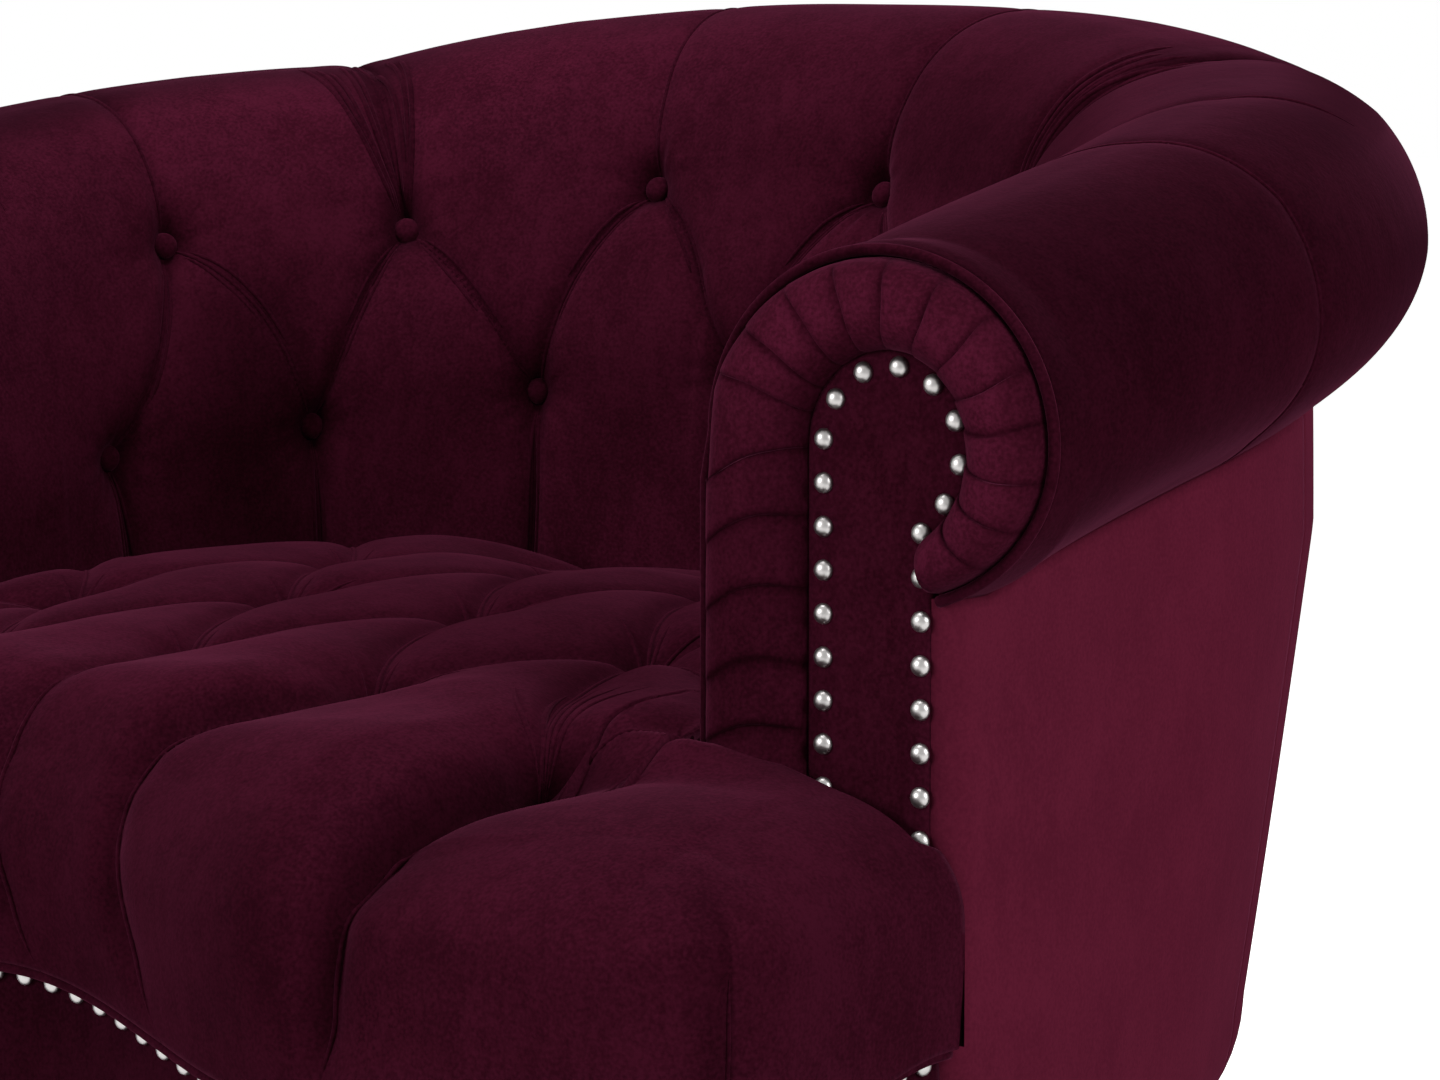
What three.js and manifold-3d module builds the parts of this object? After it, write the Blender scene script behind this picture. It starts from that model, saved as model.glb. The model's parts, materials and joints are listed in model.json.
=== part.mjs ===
// Tub shaped chesterfield armchair, in millimetres, +Z up, front towards -Y.
// The plan is a U: straight arms that turn through two equal bends into the back.
// Sections are drawn in (u, z): u is the distance outwards from the U, z the height.

import * as THREE from 'three';
import { mergeVertices } from 'three/addons/utils/BufferGeometryUtils.js';
import Module from 'manifold-3d';

const wasm = await Module();
wasm.setup();

// Driving dimensions of the whole chair
const armTop = 700;
const backRise = 118;
const riseCurveShare = 0.85;
const halfSpan = 465;
const bendRadius = 440;
const armStraight = 220;
const bodyBottom = 175;
const seatJoint = 306;
const seatHeight = 468;

// Clearances
const gap = 0.3;
const softGap = 2;
const overrun = 5;

// Roll of the arms and the back
const rollHalfWidth = 103;
const rollAbove = 95;
const rollBelow = 84;

// Inner face of the tub
const bandReach = 108;
const faceReachArm = 150;
const faceReachBack = 162;
const faceBlendStart = 30;
const faceBlendLength = 90;

// Space for the frame between the pads and the outer covers
const coreInner = 44;
const coreOuter = 34;

// Outer covers
const coverOuter = 46;
const coverThickness = 11;
const coverTopDrop = 175.5;
const coverRake = 37;
const coverRakeStart = 60;
const coverRakeLength = 330;
const coverKneeHeight = 250;
const coverKneeRadius = 85;
const returnInner = 27.3;
const returnDepth = 12;
const returnTop = 525;

// Arm fronts
const panelHeadRadius = 47;
const panelHeadOffset = 3;
const panelHeadHeight = 600;
const panelLeft = 44;
const panelRight = 27;
const panelFront = 2;
const bandFront = 10;
const frontDepth = 12;
const boardThickness = 18;
const weltWidth = 8;
const boardInset = 10;
const outlineEnd = 35;
const armFrontBottom = 312;
const armFrontShoulder = 25;

// Nails
const nailRadius = 5.2;
const nailHeight = 3.6;
const nailSpacing = 21.8;
const nailEdge = 8;
const nailStripWidth = 3;
const nailStripThickness = 0.8;

// Buttons and pleats of the tub
const buttonRadius = 8.5;
const buttonHeight = 7;
const buttonSeat = 3;
const pleatPlaces = [111, 333, 553];
const ringPleat = 705;
const upperDrop = 105;
const lowerDrop = 228;
const upperDepth = 26;
const lowerDepth = 34;
const pleatDepth = 12;
const pillowRise = 6;

// Seat
const seatFrontCentre = 150;
const seatFrontLobe = 64;
const lobePlace = 300;
const seatOverhang = 45;
const seatCornerRadius = 62;
const seatEdgeFront = 92;
const seatEdgeSide = 62;
const seatEdgeReach = 95;
const tuftPitch = 155;
const tuftDepth = 50;
const tuftReach = 44;
const seatPleatDepth = 13;
const seatPleatReach = 26;
const tuftRowFront = 40;
const tuftRowMiddle = 178;
const tuftRowRear = 345;
const tuftRowBend = 23;
const frontRowShare = 0.97;
const sideSweepShare = 0.35;

// Base
const railHeight = 80;
const railInner = 95;
const railUnder = 58;
const railChamfer = 57;
const sideRailWidth = 52;
const borderRecess = 9;
const borderThickness = 10;
const frontRailThickness = 34;
const strapWidth = 60;
const strapThickness = 2.5;
const strapPitch = 190;
const strapLap = 25;
const dustCoverThickness = 1.6;
const seatWeltRadius = 4.5;

// Frame
const postWidth = 60;
const postInner = 42;
const postOuter = 10;
const postGap = 0.8;
const topRailInner = 42;
const topRailOuter = 30;
const topRailHeight = 35;
const topRailGap = 0.6;
const slotRise = 10;

// Feet
const footPlateSize = 60;
const footPlateThickness = 4;
const frontFootInset = 40;
const frontFootY = -112;
const frontFootRadius = 31;
const backFootBend = 0.74;
const backFootTop = 54;
const backFootToe = 34;
const backFootRake = 22;

// Faceting
const rollStepCount = 12;
const cordSideCount = 6;
const cordStepCount = 56;
const footSideCount = 16;
const nailSideCount = 5;
const buttonSideCount = 8;

// Colours and finishes
const velvet = { color: 0x5a1030, roughness: 0.85, metalness: 0 };
const velvetDark = { color: 0x3c0a20, roughness: 0.9, metalness: 0 };
const beech = { color: 0xc39a6b, roughness: 0.6, metalness: 0 };
const darkWood = { color: 0x2b1a12, roughness: 0.35, metalness: 0 };
const silver = { color: 0xc8c8c8, roughness: 0.3, metalness: 1 };
const steel = { color: 0x8a8d90, roughness: 0.45, metalness: 1 };
const elastic = { color: 0x20222a, roughness: 0.9, metalness: 0 };
const foam = { color: 0xe6dcae, roughness: 0.95, metalness: 0 };
const lining = { color: 0x15151a, roughness: 0.95, metalness: 0 };

// Small maths
const clamp = (v, low, high) => Math.min(high, Math.max(low, v));
const ease = (t) => {
  const c = clamp(t, 0, 1);
  return c * c * (3 - 2 * c);
};
const bell = (distance, reach) => Math.exp(-((distance / reach) ** 2));

// Sizes that follow from the driving ones
const seatHalfWidth = halfSpan + seatOverhang;
const frontFootX = halfSpan - frontFootInset;
const railTop = bodyBottom + railHeight;
const deckBottom = railTop + gap + strapThickness + gap;
const borderTop = seatJoint - 2 * seatWeltRadius - gap;
const faceBottom = seatJoint + gap;
const armFrontDepth = frontDepth + boardThickness;
const wingBack = bandFront + softGap;

// Plan of the tub
const backFlat = halfSpan - bendRadius;
const bendLength = (bendRadius * Math.PI) / 2;
const tubDepth = armStraight + bendRadius;
const halfLength = backFlat + bendLength + armStraight;

function planPoint(s) {
  const side = s < 0 ? -1 : 1;
  const t = Math.abs(s);
  let x = halfSpan;
  let y = halfLength - t;
  let angle = Math.PI / 2;
  if (t < backFlat) {
    x = t;
    y = tubDepth;
    angle = 0;
  } else if (t < backFlat + bendLength) {
    angle = (t - backFlat) / bendRadius;
    x = backFlat + bendRadius * Math.sin(angle);
    y = armStraight + bendRadius * Math.cos(angle);
  }
  return { x: side * x, y, nx: side * Math.sin(angle), ny: Math.cos(angle) };
}

function topHeight(s) {
  const share = clamp((planPoint(s).y - armFrontDepth) / (tubDepth - armFrontDepth), 0, 1);
  return armTop + backRise * Math.pow(share, riseCurveShare);
}

function rollCentre(s) {
  return topHeight(s) - rollAbove;
}

// A point list and a face list become a closed geometry whose faces point out.
function closedGeometry(points, faces) {
  let volume = 0;
  const a = new THREE.Vector3();
  const b = new THREE.Vector3();
  const c = new THREE.Vector3();
  for (const [i, j, k] of faces) {
    a.fromArray(points[i]);
    b.fromArray(points[j]);
    c.fromArray(points[k]);
    volume += a.dot(b.cross(c));
  }
  const index = [];
  for (const [i, j, k] of faces) {
    index.push(...(volume > 0 ? [i, j, k] : [i, k, j]));
  }
  const geometry = new THREE.BufferGeometry();
  geometry.setAttribute('position', new THREE.Float32BufferAttribute(points.flat(), 3));
  geometry.setIndex(index);
  return geometry;
}

// Rings of equal length are skinned one to the next, and the two ends are capped.
function skin(rings, capShape) {
  const count = rings[0].length;
  const points = rings.flat();
  const faces = [];
  for (let r = 0; r + 1 < rings.length; r++) {
    for (let i = 0; i < count; i++) {
      const a = r * count + i;
      const b = r * count + ((i + 1) % count);
      faces.push([a, b, b + count], [a, b + count, a + count]);
    }
  }
  const outline = capShape.map((p) => new THREE.Vector2(...p));
  const last = (rings.length - 1) * count;
  for (const triangle of THREE.ShapeUtils.triangulateShape(outline, [])) {
    const [i, j, k] = THREE.ShapeUtils.isClockWise(outline) ? [...triangle].reverse() : triangle;
    faces.push([i, k, j], [last + i, last + j, last + k]);
  }
  return closedGeometry(points, faces);
}

// A section that may change with s is carried along the U.
function loft(stations, section) {
  const rings = stations.map((s) => {
    const p = planPoint(s);
    return section(s).map(([u, z]) => [p.x + u * p.nx, p.y + u * p.ny, z]);
  });
  return skin(rings, section(stations[0]));
}

function range(from, to, count) {
  return Array.from({ length: count + 1 }, (_, i) => from + ((to - from) * i) / count);
}

// Boolean joins and cuts
function toSolid(geometry) {
  const bare = geometry.clone();
  bare.deleteAttribute('normal');
  bare.deleteAttribute('uv');
  const merged = mergeVertices(bare, 1e-4);
  const vertProperties = new Float32Array(merged.attributes.position.array);
  const triVerts = new Uint32Array(merged.index.array);
  return new wasm.Manifold(new wasm.Mesh({ numProp: 3, vertProperties, triVerts }));
}

function toGeometry(solid) {
  const mesh = solid.getMesh();
  const geometry = new THREE.BufferGeometry();
  const positions = new Float32Array(mesh.vertProperties);
  geometry.setAttribute('position', new THREE.BufferAttribute(positions, 3));
  geometry.setIndex(new THREE.BufferAttribute(new Uint32Array(mesh.triVerts), 1));
  return geometry;
}

function join(...geometries) {
  return toGeometry(geometries.map(toSolid).reduce((a, b) => a.add(b)));
}

function common(a, b) {
  return toGeometry(toSolid(a).intersect(toSolid(b)));
}

function cut(a, b) {
  return toGeometry(toSolid(a).subtract(toSolid(b)));
}

// An outline in (x, z) becomes a plate between two values of y.
function plate(outline, front, back) {
  const shape = new THREE.Shape(outline.map((p) => new THREE.Vector2(...p)));
  const geometry = new THREE.ExtrudeGeometry(shape, { depth: back - front, bevelEnabled: false });
  geometry.rotateX(Math.PI / 2);
  geometry.translate(0, back, 0);
  return geometry;
}

// An outline in (x, y) becomes a slab between two heights.
function slab(outline, low, high) {
  const shape = new THREE.Shape(outline.map((p) => new THREE.Vector2(...p)));
  const geometry = new THREE.ExtrudeGeometry(shape, { depth: high - low, bevelEnabled: false });
  geometry.translate(0, 0, low);
  return geometry;
}

const chair = new THREE.Group();

function add(name, geometry, finish) {
  const mesh = new THREE.Mesh(geometry, new THREE.MeshStandardMaterial(finish));
  mesh.name = name;
  chair.add(mesh);
  return mesh;
}

// Mirrored copy of a piece of the right side for the left side
function mirrored(geometry) {
  const copy = geometry.index ? geometry.clone() : mergeVertices(geometry);
  copy.scale(-1, 1, 1);
  const index = copy.index.array;
  for (let i = 0; i < index.length; i += 3) {
    const swap = index[i + 1];
    index[i + 1] = index[i + 2];
    index[i + 2] = swap;
  }
  copy.index.needsUpdate = true;
  return copy;
}

function addPair(name, geometry, finish) {
  add(`left_${name}`, mirrored(geometry), finish);
  add(`right_${name}`, geometry, finish);
}

// Places of the buttons along the U
const upperPlaces = [...pleatPlaces.map((s) => -s).reverse(), ...pleatPlaces];
const lastLower = (pleatPlaces[2] + ringPleat) / 2;
const lowerPlaces = [
  -lastLower,
  -(pleatPlaces[1] + pleatPlaces[2]) / 2,
  -(pleatPlaces[0] + pleatPlaces[1]) / 2,
  0,
  (pleatPlaces[0] + pleatPlaces[1]) / 2,
  (pleatPlaces[1] + pleatPlaces[2]) / 2,
  lastLower,
];

// How far the inner face stands in from the U, low down
function faceReach(s) {
  const y = planPoint(s).y;
  const arm = bandReach + (faceReachArm - bandReach) * ease((y - faceBlendStart) / faceBlendLength);
  return arm + (faceReachBack - faceReachArm) * ease((y - armStraight) / bendRadius);
}

// Depth of the tufting under the smooth surface; drop is measured down from the top of the roll
function tufting(s, drop) {
  let depth = -pillowRise;
  for (const place of upperPlaces) {
    const alongPleat = drop < upperDrop ? pleatDepth * bell(s - place, seatPleatReach) : 0;
    const atButton = upperDepth * bell(Math.hypot(s - place, drop - upperDrop), tuftReach);
    depth = Math.max(depth, alongPleat, atButton);
  }
  for (const place of lowerPlaces) {
    const alongPleat = drop > lowerDrop ? pleatDepth * bell(s - place, seatPleatReach) : 0;
    const atButton = lowerDepth * bell(Math.hypot(s - place, drop - lowerDrop), tuftReach);
    depth = Math.max(depth, alongPleat, atButton);
    for (const upper of upperPlaces) {
      const isNeighbour = Math.abs(upper - place) < (pleatPlaces[1] - pleatPlaces[0]) * 0.75;
      if (!isNeighbour || drop < upperDrop || drop > lowerDrop) continue;
      const share = (drop - upperDrop) / (lowerDrop - upperDrop);
      const line = upper + (place - upper) * share;
      depth = Math.max(depth, pleatDepth * bell(s - line, seatPleatReach));
    }
  }
  return depth;
}

// Closed section of the pad: roll, tufted inner face and the slot for the frame
function padSection(s) {
  const top = topHeight(s);
  const centre = rollCentre(s);
  const points = [];
  const start = -Math.acos(coreOuter / rollHalfWidth);
  for (const angle of range(start, Math.PI, rollStepCount).slice(0, -1)) {
    const isInner = angle > Math.PI / 4;
    const reach = angle < 0 ? rollBelow : rollAbove;
    const drop = rollAbove - rollAbove * Math.sin(angle);
    const isTop = angle > -Math.PI / 12;
    const depth = isInner ? tufting(s, drop) : isTop ? tufting(s, 0) * 0.5 : 0;
    const u = (rollHalfWidth - depth) * Math.cos(angle);
    points.push([u, centre + (reach - depth) * Math.sin(angle)]);
  }
  const lowest = top - faceBottom - overrun;
  const middle = range(upperDrop, lowerDrop, 4);
  for (const drop of [...middle, ...range(lowerDrop, lowest, 3).slice(1)]) {
    const lean = ease((drop - rollAbove) / (lowerDrop - rollAbove));
    const reach = rollHalfWidth + (faceReach(s) - rollHalfWidth) * lean;
    points.push([-(reach - tufting(s, drop)), top - drop]);
  }
  points.push([-faceReach(s), faceBottom]);
  points.push([-coreInner, faceBottom]);
  points.push([-coreInner, centre + slotRise]);
  points.push([coreOuter, centre + slotRise]);
  return points;
}

// Pads: two arms and the back, parted at the outer pleats of the back
const padEnd = halfLength - armFrontDepth - gap;
const padSplit = pleatPlaces[1];
const padPlaces = [...upperPlaces, ...lowerPlaces, -ringPleat, ringPleat].sort((a, b) => a - b);

function padStations(from, to) {
  const inside = padPlaces.filter((s) => s > from + overrun && s < to - overrun);
  const knots = [from, ...inside, to];
  const stations = [];
  for (let i = 0; i + 1 < knots.length; i++) {
    const steps = Math.max(1, Math.round((knots[i + 1] - knots[i]) / tuftReach));
    stations.push(...range(knots[i], knots[i + 1], steps).slice(0, -1));
  }
  stations.push(to);
  return stations;
}

const armStations = padStations(padSplit + gap / 2, padEnd);
const backStations = padStations(-padSplit + gap / 2, padSplit - gap / 2);
const leftArmStations = armStations.map((s) => -s).reverse();

// Outer covers: raked towards the back and rounded in at the bottom
function coverOffset(s, z) {
  const y = planPoint(s).y;
  const rake = coverRake * ease((y - coverRakeStart) / coverRakeLength);
  const span = armTop - coverTopDrop - coverKneeHeight;
  const lean = rake * clamp((armTop - coverTopDrop - z) / span, 0, 1);
  const below = clamp(coverKneeHeight - z, 0, coverKneeRadius);
  const round = coverKneeRadius - Math.sqrt(coverKneeRadius ** 2 - below ** 2);
  return coverOuter - lean - round * ease((y - coverRakeStart) / coverRakeLength);
}

function coverSection(s) {
  const top = topHeight(s) - coverTopDrop;
  const knee = range(coverKneeHeight, bodyBottom, 4);
  const heights = [top, (top + coverKneeHeight) / 2, ...knee];
  const outside = heights.map((z) => [coverOffset(s, z), z]);
  const inside = heights.map((z) => [coverOffset(s, z) - coverThickness, z]);
  return [...outside, ...inside.reverse()];
}

const coverSplit = pleatPlaces[2];
const sideStations = [coverSplit + gap / 2, ...armStations.filter((s) => s > coverSplit + gap), halfLength];
const bendStations = armStations.filter((s) => s < coverSplit - gap);
const backHalf = [...backStations.filter((s) => s > 0), ...bendStations, coverSplit - gap / 2];
const backCoverStations = [...backHalf.map((s) => -s).reverse(), 0, ...backHalf];
const sideCover = loft(sideStations, coverSection);
const sideReturn = slab(
  [
    [halfSpan + returnInner, 0],
    [halfSpan + coverOuter, 0],
    [halfSpan + coverOuter, returnDepth],
    [halfSpan + returnInner, returnDepth],
  ],
  bodyBottom,
  returnTop,
);
addPair('side_cover', join(sideCover, sideReturn), velvet);
add('back_cover', loft(backCoverStations, coverSection), velvet);

// Outline of the arm front as (x, z), drawn in by inset
function armOutline(inset) {
  const centre = armTop - rollAbove;
  const points = [[-bandReach + inset, armFrontBottom]];
  points.push([-bandReach + inset, centre - armFrontShoulder]);
  const end = -Math.acos(outlineEnd / (rollHalfWidth - inset));
  for (const angle of range(Math.PI, end, rollStepCount * 2)) {
    const reach = angle < 0 ? rollBelow : rollAbove;
    points.push([(rollHalfWidth - inset) * Math.cos(angle), centre + (reach - inset) * Math.sin(angle)]);
  }
  return points.map(([u, z]) => [halfSpan + u, z]);
}

// Outline of the nailed keyhole panel, grown by the clearance
function panelOutline(grow) {
  const radius = panelHeadRadius + grow;
  const right = panelRight + grow - panelHeadOffset;
  const end = -Math.acos(right / radius);
  const points = [[-panelLeft - grow, armFrontBottom]];
  for (const angle of range(Math.PI, end, rollStepCount * 2)) {
    points.push([panelHeadOffset + radius * Math.cos(angle), panelHeadHeight + radius * Math.sin(angle)]);
  }
  return points.map(([u, z]) => [halfSpan + u, z]);
}

const panelShape = [...panelOutline(0), [halfSpan + panelRight, armFrontBottom]];
addPair('arm_panel', plate(panelShape, -panelFront, frontDepth - gap), velvetDark);

const bandShape = [...armOutline(weltWidth + gap), ...panelOutline(gap).reverse()];
const bandPlate = plate(bandShape, -bandFront, frontDepth - gap);
addPair('arm_band', bandPlate, velvet);

const weltShape = [...armOutline(0), ...armOutline(weltWidth).reverse()];
addPair('arm_welt', plate(weltShape, -bandFront, armFrontDepth), velvet);

const boardOutline = armOutline(boardInset);
boardOutline[0][1] = railTop + gap;
const boardShape = [
  ...boardOutline,
  [halfSpan + panelRight, boardOutline[boardOutline.length - 1][1]],
  [halfSpan + panelRight, railTop + gap],
];
addPair('arm_board', plate(boardShape, frontDepth, armFrontDepth), beech);

// A dome as shares of its radius and of its height, turned about the Y axis
const domeShares = [
  [0, 0],
  [1, 0],
  [0.78, 0.65],
  [0, 1],
];

function dome(radius, height, sides) {
  const profile = domeShares.map(([r, h]) => new THREE.Vector2(r * radius, h * height));
  return new THREE.LatheGeometry(profile, sides);
}

// A nail head with its flat side on the plane y = 0, pointing to -Y
function nailHead() {
  const head = dome(nailRadius, nailHeight, nailSideCount);
  head.rotateX(Math.PI);
  return head;
}

function polylineLength(points) {
  let length = 0;
  for (let i = 0; i + 1 < points.length; i++) {
    length += Math.hypot(points[i + 1][0] - points[i][0], points[i + 1][1] - points[i][1]);
  }
  return length;
}

function pointAlong(points, distance) {
  let left = distance;
  for (let i = 0; i + 1 < points.length; i++) {
    const dx = points[i + 1][0] - points[i][0];
    const dy = points[i + 1][1] - points[i][1];
    const length = Math.hypot(dx, dy);
    if (left <= length || i + 2 === points.length) {
      const t = left / length;
      return { x: points[i][0] + dx * t, y: points[i][1] + dy * t, dx: dx / length, dy: dy / length };
    }
    left -= length;
  }
  return null;
}

// Both edges of a narrow strip that follows a polyline
function stripOutline(points, width) {
  const total = polylineLength(points);
  const count = Math.round(total / nailSpacing);
  const left = [];
  const right = [];
  for (const distance of range(0, total, count)) {
    const p = pointAlong(points, distance);
    left.push([p.x - (p.dy * width) / 2, p.y + (p.dx * width) / 2]);
    right.push([p.x + (p.dy * width) / 2, p.y - (p.dx * width) / 2]);
  }
  return [...left, ...right.reverse()];
}

// Nails of one arm front, on their tacking strip
function armNails() {
  const path = panelOutline(-nailEdge);
  path.push([halfSpan + panelRight - nailEdge, armFrontBottom + nailEdge]);
  path[0][1] = armFrontBottom + nailEdge;
  const face = -panelFront - gap;
  const parts = [plate(stripOutline(path, nailStripWidth), face - nailStripThickness, face)];
  const total = polylineLength(path);
  const count = Math.round(total / nailSpacing);
  for (const distance of range(0, total, count)) {
    const p = pointAlong(path, distance);
    const head = nailHead();
    head.translate(p.x, face, p.y);
    parts.push(head);
  }
  return join(...parts);
}

addPair('arm_nails', armNails(), silver);

// Front outline of the seat as (x, y) for x >= 0, drawn in by inset
function frontLine(x) {
  const lobe = Math.sin((Math.PI / 2) * clamp(x / lobePlace, 0, 1)) ** 2;
  const back = ease((x - lobePlace) / (seatHalfWidth - lobePlace)) * seatFrontLobe * sideSweepShare;
  return -(seatFrontCentre + seatFrontLobe * lobe - back);
}

function frontOutline(inset, sideEnd) {
  const points = [];
  const cornerX = seatHalfWidth - seatCornerRadius;
  for (const x of range(0, cornerX, 10)) {
    points.push([x, frontLine(x) + inset]);
  }
  const cornerY = frontLine(cornerX) + seatCornerRadius;
  const radius = seatCornerRadius - inset;
  for (const angle of range(-Math.PI / 2, 0, 6).slice(1)) {
    points.push([cornerX + radius * Math.cos(angle), cornerY + radius * Math.sin(angle)]);
  }
  points.push([seatHalfWidth - inset, sideEnd]);
  return points;
}

function bothSides(points) {
  return [...points.slice(1).reverse().map(([x, y]) => [-x, y]), ...points];
}

// Seat outline: the winged front, then back between the pads
function seatOutline() {
  const half = frontOutline(0, -wingBack);
  half.push([halfSpan - bandReach - gap * 2, -wingBack]);
  for (const s of range(halfLength - faceBlendStart, 0, 16)) {
    const p = planPoint(s);
    const reach = faceReach(s) + pillowRise + softGap;
    half.push([p.x - reach * p.nx, p.y - reach * p.ny]);
  }
  half[half.length - 1][0] = 0;
  const left = half.slice(1, -1).reverse().map(([x, y]) => [-x, y]);
  return [...half, ...left];
}

// Places of the seat tufts, front row first
const seatTufts = [
  ...[-2, -1, 0, 1, 2].map((i) => [i * tuftPitch * frontRowShare, tuftRowFront - tuftRowBend * i * i]),
  ...[-1.5, -0.5, 0.5, 1.5].map((i) => [i * tuftPitch, tuftRowMiddle - tuftRowBend * i * i]),
  ...[-1, 0, 1].map((i) => [i * tuftPitch, tuftRowRear - tuftRowBend * i * i]),
];

function segmentDistance(x, y, [ax, ay], [bx, by]) {
  const dx = bx - ax;
  const dy = by - ay;
  const t = clamp(((x - ax) * dx + (y - ay) * dy) / (dx * dx + dy * dy), 0, 1);
  return Math.hypot(x - ax - t * dx, y - ay - t * dy);
}

// Pleats join neighbouring rows and run from the front row over the edge
const seatPleats = [];
for (const [x, y] of seatTufts.slice(0, 5)) {
  seatPleats.push([[x, y], [x * frontRowShare, frontLine(Math.abs(x)) - overrun]]);
}
for (const from of seatTufts) {
  for (const to of seatTufts) {
    const isNextRow = to[1] > from[1] + tuftPitch / 3;
    const reach = Math.hypot(to[0] - from[0], to[1] - from[1]);
    if (isNextRow && Math.abs(to[0] - from[0]) < tuftPitch * 0.7 && reach < tuftPitch * 1.4) {
      seatPleats.push([from, to]);
    }
  }
}

function seatTop(x, y) {
  const half = frontOutline(0, -wingBack);
  const line = bothSides(half);
  let edge = seatHalfWidth;
  for (let i = 0; i + 1 < line.length; i++) {
    edge = Math.min(edge, segmentDistance(x, y, line[i], line[i + 1]));
  }
  const isOutside = Math.abs(x) > seatHalfWidth || y < frontLine(Math.abs(x));
  const t = isOutside ? 1 : clamp(1 - edge / seatEdgeReach, 0, 1);
  const sideShare = ease((Math.abs(x) - lobePlace) / (seatHalfWidth - lobePlace));
  const edgeDrop = seatEdgeFront + (seatEdgeSide - seatEdgeFront) * sideShare;
  let depth = 0;
  for (const [tx, ty] of seatTufts) {
    depth = Math.max(depth, tuftDepth * bell(Math.hypot(x - tx, y - ty), tuftReach));
  }
  for (const [from, to] of seatPleats) {
    depth = Math.max(depth, seatPleatDepth * bell(segmentDistance(x, y, from, to), seatPleatReach));
  }
  return seatHeight - edgeDrop * (1 - Math.sqrt(1 - t * t)) - depth;
}

// A block whose top follows a height function
function heightBlock(xs, ys, low, height) {
  const points = [];
  const faces = [];
  const at = (i, j) => i * ys.length + j;
  for (const x of xs) {
    for (const y of ys) {
      points.push([x, y, height(x, y)]);
    }
  }
  for (let i = 0; i + 1 < xs.length; i++) {
    for (let j = 0; j + 1 < ys.length; j++) {
      faces.push([at(i, j), at(i + 1, j), at(i + 1, j + 1)], [at(i, j), at(i + 1, j + 1), at(i, j + 1)]);
    }
  }
  const rim = [];
  for (let i = 0; i < xs.length; i++) rim.push(at(i, 0));
  for (let j = 1; j < ys.length; j++) rim.push(at(xs.length - 1, j));
  for (let i = xs.length - 2; i >= 0; i--) rim.push(at(i, ys.length - 1));
  for (let j = ys.length - 2; j > 0; j--) rim.push(at(0, j));
  const base = points.length;
  for (const i of rim) {
    points.push([points[i][0], points[i][1], low]);
  }
  const centre = points.length;
  points.push([(xs[0] + xs[xs.length - 1]) / 2, (ys[0] + ys[ys.length - 1]) / 2, low]);
  for (let i = 0; i < rim.length; i++) {
    const next = (i + 1) % rim.length;
    faces.push([rim[next], rim[i], base + i], [rim[next], base + i, base + next]);
    faces.push([base + next, base + i, centre]);
  }
  return closedGeometry(points, faces);
}

const seatFrontMost = -(seatFrontCentre + seatFrontLobe) - overrun;
const seatBackMost = tubDepth - faceReachBack - pillowRise + overrun;
const seatXs = range(-seatHalfWidth - overrun, seatHalfWidth + overrun, 32);
const seatYs = range(seatFrontMost, seatBackMost, 20);
const seatBlock = heightBlock(seatXs, seatYs, seatJoint + gap, seatTop);
const seatPrism = slab(seatOutline(), seatJoint + gap, seatHeight + overrun);
add('seat_cushion', common(seatBlock, seatPrism), velvet);

// Cord, border and nails under the seat edge
const weltLine = bothSides(frontOutline(borderRecess / 2 + seatWeltRadius, -gap));

function cordAlong(points, radius, z) {
  const path = points.map(([x, y]) => new THREE.Vector3(x, y, z));
  const extrudePath = new THREE.CatmullRomCurve3(path, false, 'centripetal');
  const ring = range(0, Math.PI * 2, cordSideCount).slice(0, -1);
  const corners = ring.map((a) => new THREE.Vector2(radius * Math.cos(a), radius * Math.sin(a)));
  const section = new THREE.Shape(corners);
  return new THREE.ExtrudeGeometry(section, { steps: cordStepCount, extrudePath, bevelEnabled: false });
}

add('seat_welt', cordAlong(weltLine, seatWeltRadius, seatJoint - seatWeltRadius - gap), velvet);

function wall(line, innerLine, low, high) {
  return slab([...line, ...innerLine.reverse()], low, high);
}

const borderFace = bothSides(frontOutline(borderRecess, -gap));
const borderInside = bothSides(frontOutline(borderRecess + borderThickness, -gap));
const borderShape = wall(borderFace, borderInside, bodyBottom, borderTop);
add('front_border', borderShape, velvetDark);

const railFaceInset = borderRecess + borderThickness + gap;
const railBackInset = railFaceInset + frontRailThickness;
const railFace = bothSides(frontOutline(railFaceInset, -gap));
const railBack = bothSides(frontOutline(railBackInset, -gap));
add('front_rail', wall(railFace, railBack, bodyBottom, railTop), beech);

function borderNails() {
  const face = bothSides(frontOutline(borderRecess - gap, -nailSpacing / 2));
  const rim = bothSides(frontOutline(borderRecess - gap - nailStripThickness, -nailSpacing / 2));
  const height = borderTop - nailEdge;
  const line = [...face];
  const parts = [wall(face, rim, height - nailStripWidth / 2, height + nailStripWidth / 2)];
  const total = polylineLength(line);
  const count = Math.round(total / nailSpacing);
  for (const distance of range(nailRadius, total - nailRadius, count)) {
    const p = pointAlong(line, distance);
    const head = nailHead();
    head.rotateZ(Math.atan2(p.dy, p.dx));
    head.translate(p.x, p.y, height);
    parts.push(head);
  }
  return join(...parts);
}

add('border_nails', borderNails(), silver);

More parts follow.
